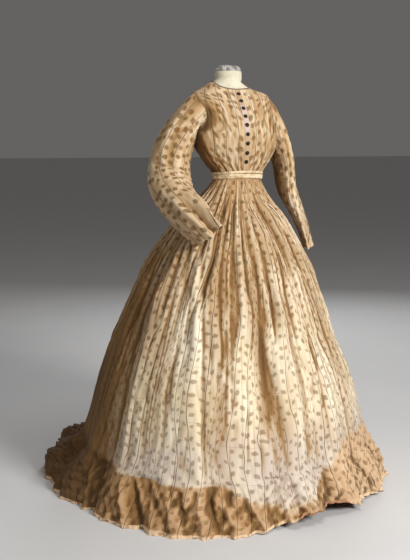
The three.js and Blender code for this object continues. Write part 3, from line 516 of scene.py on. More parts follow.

# Colours of the printed cloth: ground, pale ground (partly painted highlight), worn grey, hem, painted
# shade in the hollows and painted deep shadow, hem edge, inside and threads, then the leaves and the lines
SAND_DARK, SAND = (0.43, 0.275, 0.140), (0.53, 0.36, 0.20)
CREAM_DARK, CREAM = (0.72, 0.60, 0.41), (0.83, 0.75, 0.59)
WORN_GREY = (0.54, 0.47, 0.43)
TAN_DARK, TAN = (0.42, 0.235, 0.11), (0.58, 0.37, 0.20)
SHADE_BROWN, DEEP_SHADOW_BROWN = (0.26, 0.135, 0.045), (0.095, 0.050, 0.020)
EDGE_PEACH, INSIDE_RUST, THREAD_BROWN = (0.78, 0.57, 0.38), (0.36, 0.15, 0.07), (0.45, 0.33, 0.20)
LEAF_BROWN, LEAF_OLIVE, LEAF_GREY = (0.185, 0.078, 0.020), (0.150, 0.092, 0.026), (0.22, 0.17, 0.14)
LINE_BLACK = (0.055, 0.040, 0.030)

# Points along and round the pieces
FRONT_COLUMNS, BACK_COLUMNS = 84, 128
SLEEVE_ROWS, SLEEVE_COLUMNS = 124, 112
FORM_COLUMNS, CAP_COLUMNS, BUTTON_COLUMNS, PLACKET_COLUMNS = 96, 168, 40, 13
SIDE_STEP, BACK_STEP = 0.33, 0.42

# Camera: as far and as high as the photograph's, with the dress's axis right of the picture's middle
CAMERA_AZIMUTH = -25 * DEG
CAMERA_DISTANCE = 3.5
CAMERA_HEIGHT = 1.2
CAMERA_LENS = 63.0
SENSOR = 36.0
FOCAL_PIXELS = CAMERA_LENS / SENSOR * 560
AXIS_RIGHT_OF_MIDDLE = 32.0
HORIZON_ABOVE_MIDDLE = 136.0

# Lights: name, place, aim, width, power, colour
LIGHTS = [
    ("key", (1.05, -3.85, 2.4), (0.0, 0.0, 0.75), 1.2, 184, (1.0, 0.98, 0.94)),
    ("fill", (-3.6, -2.0, 1.6), (0.0, 0.0, 0.8), 2.2, 24, (1.0, 0.93, 0.84)),
    ("top", (0.4, -1.2, 4.0), (0.0, 0.0, 0.6), 1.6, 40, (1.0, 1.0, 1.0)),
    ("back", (2.0, 3.2, 2.4), (0.0, 0.0, 0.9), 1.6, 45, (1.0, 1.0, 1.0)),
]
WORLD_COLOUR, WORLD_STRENGTH = (0.64, 0.62, 0.60, 1), 0.20
FLOOR_HALF = 80.0


def hermite(t, start, start_slope, end, end_slope):
    """A share t of the way along a cubic between two values with these slopes."""
    t2, t3 = t * t, t * t * t
    return ((2 * t3 - 3 * t2 + 1) * start + (t3 - 2 * t2 + t) * start_slope
            + (3 * t2 - 2 * t3) * end + (t3 - t2) * end_slope)


def read(rows, at, column):
    """Value of a table's column at a place in its first column, by a smooth curve through the rows."""
    key, value = rows[:, 0], rows[:, column]
    last = len(key) - 1
    i = np.clip(np.searchsorted(key[1:], at, side="left"), 0, last - 1)
    before, after = np.maximum(i - 1, 0), np.minimum(i + 2, last)
    span = key[i + 1] - key[i]
    t = np.clip((at - key[i]) / span, 0, 1)
    m0 = (value[i + 1] - value[before]) / (key[i + 1] - key[before]) * span
    m1 = (value[after] - value[i]) / (key[after] - key[i]) * span
    return hermite(t, value[i], m0, value[i + 1], m1)


def smoothstep(low, high, x):
    t = np.clip((x - low) / (high - low), 0, 1)
    return t * t * (3 - 2 * t)


def within(low, high, span, x):
    """1 between two limits and 0 beyond them, smooth over a span to each side."""
    return smoothstep(low - span, low + span, x) * smoothstep(high + span, high - span, x)


def ridge(away, width, sharpness=1.5):
    """Section of a fold: 1 on its line, less to both sides."""
    return np.exp(-(np.abs(away) / width) ** sharpness)


def round_turns(count):
    """Angles evenly round a full turn."""
    return np.linspace(0, FULL_TURN, count, endpoint=False)


def turn_share(angle):
    """An angle from -180 to 180 degrees as a share of a turn."""
    return angle / FULL_TURN + 0.5


def blurred(grid, cells, mode="edge"):
    """A grid's running mean along its rows."""
    ones = np.ones(2 * cells + 1) / (2 * cells + 1)
    padded = np.pad(grid, ((0, 0), (cells, cells)), mode=mode)
    return np.array([np.convolve(row, ones, "valid") for row in padded])


def noise(u, v, cells, seed):
    """Smooth random values from -1 to 1. u goes once round in `cells` cells, v counts its own cells."""
    rows = 64
    lattice = np.random.default_rng(seed).uniform(-1, 1, (rows, cells))
    x, y = u * cells, v
    i, j = np.floor(x).astype(int), np.floor(y).astype(int)
    a, b = x - i, y - j
    a, b = a * a * (3 - 2 * a), b * b * (3 - 2 * b)
    at = lambda q, p: lattice[q % rows, p % cells]
    low = at(j, i) * (1 - a) + at(j, i + 1) * a
    high = at(j + 1, i) * (1 - a) + at(j + 1, i + 1) * a
    return low * (1 - b) + high * b


def folded(turn, y, table, seed):
    """Crossing folds with sharp edges and flat sides. turn is the place round, y the way down in metres."""
    total = np.zeros(np.broadcast(turn, y).shape)
    for k, (around, down, height) in enumerate(table):
        phase = around * turn + down * y + 0.55 * noise(turn, y * 9, 24, seed + k)
        edge = 4 * np.abs(phase - np.floor(phase + 0.5)) - 1
        strength = 0.55 + 0.75 * noise(turn, y * 7 + 3, 31, seed + 20 + k)
        total += height * np.clip(strength, 0, 1.3) * (0.8 * edge - 0.2 * np.cos(FULL_TURN * phase))
    return total


def unit(v):
    return v / np.maximum(np.linalg.norm(v, axis=-1, keepdims=True), 1e-12)


def grid_normals(points):
    """Normals of a grid of rows by columns, from the differences between its neighbours."""
    return unit(np.cross(np.gradient(points, axis=1), np.gradient(points, axis=0)))


def lengths(points, axis):
    """Distance walked along an axis of a line or grid of points."""
    steps = np.linalg.norm(np.diff(points, axis=axis), axis=-1)
    return np.concatenate([np.zeros_like(np.take(steps, [0], axis)), np.cumsum(steps, axis)], axis)


def walked(grid):
    """A grid's place on the flat cloth: the distances across it and along it."""
    return np.stack([lengths(grid, 1), lengths(grid, 0)], -1)


def make_mesh(name, points, faces, material, uv=None, values=None):
    """An object from points, faces, the points' place on the flat cloth, and values at the points."""
    data = bpy.data.meshes.new(name)
    data.vertices.add(len(points))
    data.vertices.foreach_set("co", np.asarray(points, np.float32).ravel())
    sizes = np.array([len(f) for f in faces], np.int32)
    corners = np.concatenate([np.asarray(f, np.int32) for f in faces])
    data.loops.add(len(corners))
    data.loops.foreach_set("vertex_index", corners)
    data.polygons.add(len(sizes))
    data.polygons.foreach_set("loop_start", np.concatenate([[0], np.cumsum(sizes)[:-1]]).astype(np.int32))
    data.polygons.foreach_set("loop_total", sizes)
    data.polygons.foreach_set("use_smooth", np.ones(len(sizes), bool))
    data.update(calc_edges=True)
    if uv is not None:
        layer = data.uv_layers.new(name="cloth")
        layer.data.foreach_set("uv", np.asarray(uv, np.float32)[corners].ravel())
    for key, value in (values or {}).items():
        attribute = data.attributes.new(key, "FLOAT", "POINT")
        attribute.data.foreach_set("value", np.asarray(value, np.float32).ravel())
    data.materials.append(material)
    made = bpy.data.objects.new(name, data)
    bpy.context.scene.collection.objects.link(made)
    return made


def quads(rows, columns, first=0, wraps=False, flip=False):
    """Faces between the points of a grid."""
    j, i = np.meshgrid(np.arange(rows - 1), np.arange(columns if wraps else columns - 1), indexing="ij")
    k = (i + 1) % columns
    corner = [j * columns + i, j * columns + k, (j + 1) * columns + k, (j + 1) * columns + i]
    if flip:
        corner = corner[::-1]
    return first + np.stack(corner, -1).reshape(-1, 4)


def shell(name, outer, material, uv, values=None, inner=None):
    """A thin closed shell under a grid of points: both faces, and the edges between them."""
    rows, columns = outer.shape[:2]
    if inner is None:
        inner = outer - grid_normals(outer) * CLOTH
    count = rows * columns
    index = np.arange(count).reshape(rows, columns)
    faces = [quads(rows, columns), quads(rows, columns, count, flip=True)]
    for low, high in ((index[0] + count, index[0]), (index[-1], index[-1] + count),
                      (index[:, 0], index[:, 0] + count), (index[:, -1] + count, index[:, -1])):
        faces.append(np.stack([low[:-1], low[1:], high[1:], high[:-1]], -1))
    both = lambda grid: np.concatenate([grid.reshape(count, -1)] * 2)
    values = {key: both(value) for key, value in (values or {}).items()}
    if values:
        values["inside"][count:] = 1
    return make_mesh(name, np.concatenate([outer.reshape(-1, 3), inner.reshape(-1, 3)]),
                     np.concatenate(faces), material, both(uv), values)


# Values that the printed cloth reads: shade is mostly painted shade, with some random darker blotches; pale
# is paler cloth, partly painted highlight on the crests
TONES = ("shade", "pale", "grey", "warm", "edge", "inside")


def dress_values(shape, **given):
    """The values that the printed cloth's material reads at each point, 0 where they aren't given."""
    return {key: given.get(key, np.zeros(shape)) + np.zeros(shape) for key in TONES}


class Nodes:
    """Writes a material's nodes."""

    def __init__(self, name):
        self.material = bpy.data.materials.new(name)
        self.material.use_nodes = True
        self.tree = self.material.node_tree
        self.shader = self.tree.nodes["Principled BSDF"]

    def put(self, socket, value):
        if isinstance(value, bpy.types.NodeSocket):
            self.tree.links.new(value, socket)
        else:
            socket.default_value = value

    def node(self, kind, **inputs):
        made = self.tree.nodes.new(kind)
        for key, value in inputs.items():
            self.put(made.inputs[key.replace("_", " ")], value)
        return made

    def math(self, operation, *values):
        made = self.tree.nodes.new("ShaderNodeMath")
        made.operation = operation
        for socket, value in zip(made.inputs, values):
            self.put(socket, value)
        return made.outputs[0]

    def times(self, a, b):
        return self.math("MULTIPLY", a, b)

    def plus(self, a, b):
        return self.math("ADD", a, b)

    def minus(self, a, b):
        return self.math("SUBTRACT", a, b)

    def over(self, a, b):
        return self.math("DIVIDE", a, b)

    def times_plus(self, a, b, c):
        return self.math("MULTIPLY_ADD", a, b, c)

    def ramp(self, low, high, value):
        """0 below low, 1 above high, smooth between; high may be the lower of the two."""
        made = self.tree.nodes.new("ShaderNodeMapRange")
        made.interpolation_type = "SMOOTHSTEP"
        for key, given in (("From Min", low), ("From Max", high), ("Value", value)):
            self.put(made.inputs[key], given)
        return made.outputs[0]

    def mix(self, share, a, b, blend="MIX"):
        made = self.tree.nodes.new("ShaderNodeMix")
        made.data_type = "RGBA"
        made.blend_type = blend
        self.put(made.inputs[0], share)
        self.put(made.inputs[6], a if isinstance(a, bpy.types.NodeSocket) else (*a, 1))
        self.put(made.inputs[7], b if isinstance(b, bpy.types.NodeSocket) else (*b, 1))
        return made.outputs[2]

    def noise(self, scale, detail=2.0, roughness=0.5, vector=None, colour=False):
        made = self.node("ShaderNodeTexNoise", Scale=scale, Detail=detail, Roughness=roughness)
        self.put(made.inputs["Vector"], vector or self.position())
        return made.outputs["Color" if colour else "Factor" if "Factor" in made.outputs else "Fac"]

    def position(self):
        return self.tree.nodes.new("ShaderNodeTexCoord").outputs["Object"]

    def attribute(self, name):
        made = self.tree.nodes.new("ShaderNodeAttribute")
        made.attribute_name = name
        return made.outputs["Fac"]

    def cloth_place(self):
        """The point's place on the flat cloth, in metres: across and along."""
        made = self.tree.nodes.new("ShaderNodeUVMap")
        made.uv_map = "cloth"
        split = self.node("ShaderNodeSeparateXYZ", Vector=made.outputs[0])
        return split.outputs[0], split.outputs[1], made.outputs[0]

    def combine(self, *values):
        made = self.tree.nodes.new("ShaderNodeCombineXYZ")
        for socket, value in zip(made.inputs, values):
            self.put(socket, value)
        return made.outputs[0]

    def bump(self, height, strength, distance, normal=None):
        made = self.node("ShaderNodeBump", Height=height, Strength=strength, Distance=distance)
        if normal is not None:
            self.put(made.inputs["Normal"], normal)
        return made.outputs[0]

    def finish(self, colour, roughness, normal=None, **fixed):
        self.put(self.shader.inputs["Base Color"], colour)
        self.put(self.shader.inputs["Roughness"], roughness)
        if normal is not None:
            self.put(self.shader.inputs["Normal"], normal)
        for key, value in fixed.items():
            self.shader.inputs[key.replace("_", " ")].default_value = value
        return self.material


def weave(n, across, along, thread):
    """Height of a plain weave of threads, from 0 to 1."""
    turns = FULL_TURN / thread
    warp = n.math("SINE", n.times(across, turns))
    weft = n.math("SINE", n.times(along, turns))
    return n.times_plus(n.times(warp, weft), 0.5, 0.5)


def threads(n, across, along):
    """Uneven threads both ways, as a value round 0.5."""
    one = n.noise(1.0, 2, vector=n.combine(n.times(across, 900), n.times(along, 25), 0))
    two = n.noise(1.0, 2, vector=n.combine(n.times(across, 25), n.times(along, 900), 5))
    return n.times(n.plus(one, two), 0.5)


def leaf(n, x, y, ragged):
    """Mask of one leaf that lies along y, and of the vein in its middle. ragged moves its edge."""
    side = n.math("ABSOLUTE", x)
    share = n.over(y, LEAF_HALF_LENGTH)
    outline = n.times(n.minus(1.0, n.times(share, share)), LEAF_HALF_WIDTH)
    inside = n.ramp(-1.9 * MM, 2.4 * MM, n.plus(ragged, n.minus(outline, side)))
    stem = n.times(n.ramp(0.9 * MM, 0.3 * MM, side),
                  n.times(n.ramp(-15 * MM, -13 * MM, y), n.ramp(-4 * MM, -8 * MM, y)))
    vein = n.times(n.ramp(0.6 * MM, 0.2 * MM, side), inside)
    return n.math("MAXIMUM", inside, n.times(stem, 0.3)), vein


def leaf_layout(n, across, along):
    """Place of the nearest leaf, along its own axes, in two columns between the lines, and its dice."""
    scaled = n.over(across, STRIPE)
    stripe = n.math("FLOOR", scaled)
    middle = n.minus(n.math("FRACT", scaled), 0.5)
    column = n.math("SIGN", middle)
    row = n.plus(n.over(along, LEAF_ROW), n.times(column, 0.25))
    row = n.times_plus(stripe, 0.37, row)
    chance = n.node("ShaderNodeTexWhiteNoise", Vector=n.combine(stripe, column, n.math("FLOOR", row)))
    dice = n.node("ShaderNodeSeparateColor", Color=chance.outputs["Color"]).outputs
    x = n.times(n.minus(middle, n.times(column, 0.25)), STRIPE)
    y = n.times(n.minus(n.math("FRACT", row), 0.5), LEAF_ROW)
    x = n.times_plus(n.minus(dice[0], 0.5), 8 * MM, x)
    y = n.times_plus(n.minus(dice[1], 0.5), 12 * MM, y)
    turn = n.times_plus(n.minus(dice[2], 0.5), 1.3, n.times(column, 40 * DEG))
    c, s = n.math("COSINE", turn), n.math("SINE", turn)
    leaf_x = n.minus(n.times(x, c), n.times(y, s))
    leaf_y = n.plus(n.times(x, s), n.times(y, c))
    return middle, leaf_x, leaf_y, dice, chance.outputs["Value"]


def printed_ground(n, fine, tones):
    """Colour of the cloth under its print, with its painted shade mixed in, and the paleness that is partly
    painted highlight.
    """
    shade, pale, grey, warm, edge, inside_face = tones
    age = n.noise(6.0, 3, 0.6)
    ground = n.mix(n.ramp(0.3, 0.75, age), SAND_DARK, SAND)
    ground = n.mix(pale, ground, n.mix(n.ramp(0.3, 0.7, age), CREAM_DARK, CREAM))
    hem = n.mix(n.ramp(0.35, 0.7, n.noise(9.0, 3, 0.6)), TAN_DARK, TAN)
    for share, strength, colour in ((grey, 0.85, WORN_GREY), (warm, 0.85, hem), (shade, 0.92, SHADE_BROWN),
                                    (edge, 0.75, EDGE_PEACH), (inside_face, 0.9, INSIDE_RUST),
                                    (n.ramp(0.35, 0.65, fine), 0.10, THREAD_BROWN)):
        ground = n.mix(n.times(share, strength), ground, colour)
    return ground


def printed_cotton(name, leaf_size, missing, roundness):
    """Printed muslin. leaf_size and roundness shape its leaves, missing is the share that is left out."""
    n = Nodes(name)
    across, along, place = n.cloth_place()
    shift = n.node("ShaderNodeSeparateXYZ", Vector=n.noise(18.0, 2, vector=place, colour=True)).outputs
    across = n.times_plus(n.minus(shift[0], 0.5), 5.0 * MM, across)
    along = n.times_plus(n.minus(shift[1], 0.5), 5.0 * MM, along)

    middle, leaf_x, leaf_y, dice, chance = leaf_layout(n, across, along)
    size = n.times_plus(chance, 0.40 * leaf_size, 0.82 * leaf_size)
    ragged = n.times(n.minus(n.noise(210.0, 2, vector=place), 0.5), 7.0 * MM)
    inside, vein = leaf(n, n.over(leaf_x, n.times(size, roundness)), n.over(leaf_y, size), ragged)
    ink = n.times(inside, n.times_plus(n.noise(420.0, 2, vector=place), 0.40, 0.74))
    ink = n.times(ink, n.times_plus(vein, -0.05, 1.0))
    ink = n.times(ink, n.math("GREATER_THAN", n.math("FRACT", n.times(dice[1], 7.3)), missing))

    tones = [n.attribute(key) for key in TONES]
    shade, pale, grey = tones[:3]
    fine = threads(n, across, along)
    ink = n.times(ink, n.times_plus(pale, -0.36, 1.0))
    leaves = n.mix(n.ramp(0.35, 0.65, dice[1]), LEAF_BROWN, LEAF_OLIVE)
    leaves = n.mix(n.times(grey, 0.40), leaves, LEAF_GREY)
    printed = n.mix(n.times(ink, n.times_plus(dice[0], 0.22, 0.76)), printed_ground(n, fine, tones), leaves)
    # Painted deep shadow where the shade value rises above 1
    printed = n.mix(n.times(n.ramp(0.9, 2.0, shade), 0.85), printed, DEEP_SHADOW_BROWN)

    to_line = n.times(n.minus(0.5, n.math("ABSOLUTE", middle)), STRIPE)
    cross = n.math("FRACT", n.over(along, CROSS_LINE))
    to_cross = n.times(n.minus(0.5, n.math("ABSOLUTE", n.minus(cross, 0.5))), CROSS_LINE)
    faded = n.times_plus(n.ramp(0.30, 0.55, n.noise(30.0, 2, vector=place)), 0.35, 0.62)
    broken = n.ramp(0.42, 0.62, n.noise(9.0, 2, vector=place))
    long_line = n.times(n.ramp(1.45 * MM, 0.45 * MM, to_line), faded)
    cross_line = n.times(n.times(n.ramp(0.9 * MM, 0.3 * MM, to_cross), broken), 0.42)
    printed = n.mix(n.math("MAXIMUM", long_line, cross_line), printed, LINE_BLACK)

    normal = n.bump(n.noise(70.0, 4, 0.6, vector=place), 0.35, 1.5 * MM)
    normal = n.bump(weave(n, across, along, 0.8 * MM), 0.25, 0.2 * MM, normal)
    return n.finish(printed, n.times_plus(fine, 0.12, 0.80), normal,
                    Sheen_Weight=0.05, Sheen_Roughness=0.5, Specular_IOR_Level=0.12)


def plain_cotton(name, light, dark, patch=(30.0, 0.3, 0.7), worn=None):
    """Plain weave cloth. worn is the colour of its faded stretch between two heights, if it has one."""
    n = Nodes(name)
    across, along, place = n.cloth_place()
    fine = threads(n, across, along)
    scale, low, high = patch
    ground = n.mix(n.ramp(low, high, n.noise(scale, 3, 0.6)), dark, light)
    if worn:
        stretch = n.times(n.ramp(0.11, 0.14, along), n.ramp(0.25, 0.22, along))
        ground = n.mix(stretch, ground, worn)
    ground = n.mix(n.times(n.ramp(0.3, 0.7, fine), 0.25), ground, dark)
    normal = n.bump(n.noise(90.0, 3, 0.6, vector=place), 0.3, 0.8 * MM)
    normal = n.bump(weave(n, across, along, 0.7 * MM), 0.35, 0.2 * MM, normal)
    return n.finish(ground, n.times_plus(fine, 0.1, 0.82), normal,
                    Sheen_Weight=0.15, Specular_IOR_Level=0.2)


def button_black():
    n = Nodes("button_black")
    cloud = n.noise(500.0, 3)
    colour = n.mix(n.ramp(0.35, 0.7, cloud), (0.012, 0.007, 0.004), (0.026, 0.016, 0.010))
    return n.finish(colour, n.times_plus(cloud, 0.2, 0.48), n.bump(cloud, 0.12, 0.1 * MM),
                    Specular_IOR_Level=0.18)


def thread_cotton(name, colour):
    n = Nodes(name)
    twist = n.noise(1800.0, 2)
    return n.finish(n.mix(n.ramp(0.35, 0.65, twist), colour, [0.6 * c for c in colour]), 0.8,
                    n.bump(twist, 0.4, 0.1 * MM), Sheen_Weight=0.2)


def stand_paint():
    n = Nodes("stand_paint")
    speck = n.noise(260.0, 4, 0.65)
    worn = n.ramp(0.66, 0.74, n.noise(34.0, 4, 0.6))
    colour = n.mix(n.ramp(0.3, 0.7, speck), (0.016, 0.016, 0.018), (0.028, 0.028, 0.030))
    colour = n.mix(n.times(worn, 0.3), colour, (0.11, 0.105, 0.10))
    return n.finish(colour, n.times_plus(speck, 0.25, 0.33), n.bump(speck, 0.15, 0.1 * MM))


def studio_floor():
    n = Nodes("studio_floor")
    cloud = n.noise(2.0, 3)
    return n.finish(n.mix(cloud, (0.60, 0.60, 0.61), (0.66, 0.66, 0.665)), 0.75)


PRINTED = printed_cotton("printed_cotton", 1.0, 0.05, 1.0)
PRINTED_BODICE = printed_cotton("printed_cotton_bodice", 1.12, 0.22, 1.25)
TRIM = plain_cotton("trim_cotton", (0.76, 0.62, 0.43), (0.44, 0.31, 0.17), patch=(22.0, 0.40, 0.60))
BINDING = plain_cotton("binding_cotton", (0.24, 0.155, 0.085), (0.13, 0.08, 0.04))
PIPING = plain_cotton("piping_cotton", (0.40, 0.27, 0.15), (0.28, 0.18, 0.09))
PLACKET = plain_cotton("placket_cotton", (0.50, 0.345, 0.205), (0.38, 0.25, 0.14), worn=(0.54, 0.43, 0.38))
CALICO = plain_cotton("form_calico", (0.66, 0.62, 0.49), (0.56, 0.52, 0.40))
CAP = plain_cotton("form_cap_cloth", (0.50, 0.49, 0.45), (0.16, 0.155, 0.14), patch=(45.0, 0.40, 0.60))
BUTTON = button_black()
THREAD = thread_cotton("sewing_thread", (0.72, 0.60, 0.42))
DARK_THREAD = thread_cotton("buttonhole_thread", (0.10, 0.07, 0.05))
PAINT = stand_paint()


def add_camera():
    data = bpy.data.cameras.new("camera")
    data.lens = CAMERA_LENS
    data.sensor_width = SENSOR
    made = bpy.data.objects.new("camera", data)
    bpy.context.scene.collection.objects.link(made)
    made.location = (math.sin(CAMERA_AZIMUTH) * CAMERA_DISTANCE,
                     -math.cos(CAMERA_AZIMUTH) * CAMERA_DISTANCE, CAMERA_HEIGHT)
    yaw = CAMERA_AZIMUTH + math.atan(AXIS_RIGHT_OF_MIDDLE / FOCAL_PIXELS)
    pitch = math.atan(HORIZON_ABOVE_MIDDLE / FOCAL_PIXELS)
    made.rotation_euler = (math.pi / 2 - pitch, 0, yaw)
    bpy.context.scene.camera = made


def area_light(name, place, aim, size, power, colour):
    data = bpy.data.lights.new(name, "AREA")
    data.shape = "DISK"
    data.size = size
    data.energy = power
    data.color = colour
    made = bpy.data.objects.new(name, data)
    bpy.context.scene.collection.objects.link(made)
    made.location = place
    way = np.array(aim, float) - np.array(place, float)
    flat = math.hypot(way[0], way[1])
    made.rotation_euler = (math.pi / 2 + math.atan2(way[2], flat), 0, math.atan2(-way[0], way[1]))


def add_studio():
    corners = [(x * FLOOR_HALF, y * FLOOR_HALF, 0) for x, y in ((-1, -1), (1, -1), (1, 1), (-1, 1))]
    make_mesh("floor", corners, np.array([[0, 1, 2, 3]]), studio_floor())
    world = bpy.data.worlds.new("studio")
    bpy.context.scene.world = world
    world.use_nodes = True
    background = world.node_tree.nodes["Background"].inputs
    background["Color"].default_value = WORLD_COLOUR
    background["Strength"].default_value = WORLD_STRENGTH
    for light in LIGHTS:
        area_light(*light)
    bpy.context.scene.view_settings.view_transform = "Standard"


# Torso and bodice
def torso(angle, z):
    """Outside of the torso. Angle 0 is the wearer's left, -90 degrees the front."""
    exponent = 2 / read(TORSO, z, SQUARE)
    c, s = np.cos(angle), np.sin(angle)
    depth = np.where(s < 0, read(TORSO, z, FRONT), read(TORSO, z, BACK))
    x = read(TORSO, z, HALF) * np.sign(c) * np.abs(c) ** exponent
    y = LEAN * (z - WAIST_Z) + depth * np.sign(s) * np.abs(s) ** exponent
    return np.stack([x, y, z + 0 * x], -1)


def torso_normal(angle, z):
    da, dz = 0.02, 0.0015
    across = torso(angle + da, z) - torso(angle - da, z)
    return unit(np.cross(across, torso(angle, z + dz) - torso(angle, z - dz)))


def armhole_reach(z):
    t = (z - ARMHOLE_MIDDLE) / ARMHOLE_HALF
    return ARMHOLE_SPREAD * np.sqrt(np.clip(1 - t * t, 0, 1))


def neckline(angle):
    drop = np.where(np.sin(angle) < 0, NECK_FRONT_DROP, NECK_BACK_DROP)
    return NECK_SIDE_Z - drop * np.sin(angle) ** 2


def close_neck(points):
    """The neckline drawn in to the form's neck on the wearer's left."""
    points = points.copy()
    x = points[..., 0]
    share = smoothstep(1.385, 1.420, points[..., 2]) * smoothstep(0.012, 0.055, x)
    points[..., 2] -= SHOULDER_DROP * smoothstep(0.030, 0.075, x) * smoothstep(1.372, 1.405, points[..., 2])
    points[..., 0] = x - NECK_DRAWN_IN * share
    return points


def waistline(angle):
    return WAIST_Z + WAIST_ARCH * np.maximum(-np.sin(angle), 0) ** 2


def row_height(angle, side_z):
    t = (side_z - WAIST_Z) / (NECK_SIDE_Z - WAIST_Z)
    return waistline(angle) + t * (neckline(angle) - waistline(angle))


def bodice_rows():
    """Heights of the bodice's rows, at the side seam."""
    low = np.linspace(WAIST_Z, ARMHOLE_LOW, 46)[:-1]
    armhole = ARMHOLE_MIDDLE - ARMHOLE_HALF * np.cos(np.linspace(0, math.pi, 44))
    high = np.linspace(ARMHOLE_HIGH, NECK_SIDE_Z, 15)[1:]
    return np.concatenate([low, armhole, high])


def gathers(u, z):
    """Height of the bodice front's folds, across the panel and up it."""
    rise = np.clip((z - WAIST_Z) / (GATHER_TOP - WAIST_Z), 0, 1)
    fade = np.sin(math.pi * rise ** GATHER_SHAPE)
    total = np.zeros_like(u)
    for at, width, height in FRONT_GATHERS:
        total += fade * height * ridge(u - at * (1 + GATHER_SPREAD * rise), width, 2)
    return total + fine_gathers(FINE_GATHERS, u, z)


def fine_gathers(table, u, z):
    """Gathers that run up from the waist, deepest just above it, and spread as they rise."""
    total = np.zeros_like(u)
    for at, width, height, top in table:
        rise = np.clip((z - WAIST_Z) / (top - WAIST_Z), 0, 1)
        fade = np.sin(math.pi * rise ** 0.35) + 0.35 * (1 - rise) ** 2
        total += fade * height * ridge(u - at * (1 + GATHER_SPREAD * rise), width * (1 + 0.8 * rise), 2)
    return total


def bodice_creases(points, seed):
    """Small soft creases all over the bodice: lengthwise ones, and small folds that cross each other."""
    x, z = points[..., 0], points[..., 2]
    soft = noise(x / 0.4 + 0.5, z * 9, 26, seed) * 0.9 + noise(x / 0.4 + 0.5, z * 22, 60, seed + 1) * 0.35
    crossing = folded(x / 0.4 + 0.5, z, BODICE_CRUMPLE, seed + 2)
    return (0.0015 * soft + 1.2 * crossing) * smoothstep(1.415, 1.37, z)


def drawn_folds(u, z):
    """The bodice front's drawn folds: steep ones go by height, level ones by the place across."""
    total = np.zeros_like(u)
    for width, height, path in BODICE_CREASES:
        at, heights = np.array(path).T
        if abs(heights[-1] - heights[0]) > 0.05:
            away = u - np.interp(z, heights, at)
            fade = within(heights[0], heights[-1], 0.25 * (heights[-1] - heights[0]), z)
        else:
            away = (z - np.interp(u, at, heights)) / 0.16
            fade = smoothstep(at[0] - 0.06, at[0] + 0.12, u) * smoothstep(at[-1] + 0.05, at[-1] - 0.08, u)
        total += fade * height * ridge(away, width)
    return total


def bodice_uv(points, middle):
    """Print runs up the bodice; its lines draw together towards the gathered waist."""
    across = lengths(points, 1)
    across = across - across[:, middle:middle + 1]
    draw = np.interp(points[:, middle, 2], [1.09, 1.17, 1.26, 1.40], [1.22, 1.08, 1.0, 0.95])
    along = lengths(points, 0)
    along = along - along[-1:, :] + 0.35
    return np.stack([across * draw[:, None], along + 0 * across], -1)


def front_grid(rows, columns):
    """The plain bodice front on the wearer's left: points, normals, places across and heights."""
    side_z = rows[:, None]
    end = -armhole_reach(side_z) - EDGE_TRIM
    first_z = row_height(FRONT_ANGLE, side_z)
    ratio = (SEAM_GAP / 2) / read(TORSO, first_z, HALF)
    start = FRONT_ANGLE + np.arcsin(ratio ** (read(TORSO, first_z, SQUARE) / 2))
    angle = start + columns[None, :] * (end - start)
    z = row_height(angle, side_z)
    u = (angle - FRONT_ANGLE) / (end - FRONT_ANGLE)
    return torso(angle, z), torso_normal(angle, z), u, z


def make_bodice_front(name, side, seed):
    right = side < 0
    plain, normal, u, z = front_grid(bodice_rows(), np.linspace(0, 1, FRONT_COLUMNS))
    keep = smoothstep(0, 0.05, 1 - u) * smoothstep(0.0, 0.10, u)
    creased = (bodice_creases(plain * [side, 1, 1], seed) + drawn_folds(u, z)) * keep
    folds = gathers(u, z)
    points = plain + normal * (folds * smoothstep(0, 0.03, 1 - u) + creased)[..., None]
    points = close_neck(points * [side, 1, 1])
    folds = folds + creased
    if right:
        points, folds, u, z = (grid[:, ::-1] for grid in (points, folds, u, z))
    uv = bodice_uv(points, points.shape[1] - 1 if right else 0)
    # Painted shade in the folds' hollows and under the arm, painted highlight on the crests, random
    # blotches both ways; darker just above the waist, paler in the middle of the front above it, and the
    # left front a little darker overall
    hollow = blurred(folds, 6) - folds
    cloud = noise(u * 0.2 + (0.0 if right else 0.3), z * 16, 31, seed + 3)
    under_arm = smoothstep(0.54, 0.90, u) * smoothstep(1.38, 1.30, z)
    middle = smoothstep(0.55, 0.15, u) * smoothstep(1.10, 1.16, z)
    base_tone, under_arm_shade, middle_tone = (0.0, 1.75, 0.30) if right else (0.12, 0.35, 0.12)
    shade = (0.85 * smoothstep(0.0, 0.0020, hollow) + 0.25 * smoothstep(1.16, 1.09, z)
             + 0.28 * smoothstep(0.0, 0.7, cloud) + base_tone + under_arm_shade * under_arm)
    pale = (0.40 * smoothstep(0.0, -0.0015, hollow) + middle_tone * middle
            + 0.25 * smoothstep(0.0, -0.7, cloud))
    values = dress_values(z.shape, shade=np.clip(shade, 0, 2), pale=np.clip(pale, 0, 1))
    return shell(name, points, PRINTED_BODICE, uv + [0.013 * side, 0], values), points


def make_bodice_back():
    side_z = bodice_rows()[:, None]
    start = armhole_reach(side_z) + EDGE_TRIM
    u = np.linspace(0, 1, BACK_COLUMNS)[None, :]
    angle = start + u * (math.pi - 2 * start)
    z = row_height(angle, side_z)
    u = u + 0 * z
    plain = torso(angle, z)
    keep = smoothstep(0, 0.04, u) * smoothstep(0, 0.04, 1 - u)
    folds = (fine_gathers(BACK_GATHERS, u, z) + bodice_creases(plain, 31)) * keep
    points = close_neck(plain + torso_normal(angle, z) * folds[..., None])
    uv = bodice_uv(points, BACK_COLUMNS // 2)
    # Darker just above the waist, and painted shade on the wearer's right side under the arm
    shade = 0.3 * smoothstep(1.16, 1.09, z) + 1.5 * smoothstep(0.62, 0.86, u) * smoothstep(1.38, 1.30, z)
    values = dress_values(z.shape, shade=shade)
    return shell("bodice_back_cloth", points, PRINTED_BODICE, uv + [0.02, 0], values), points


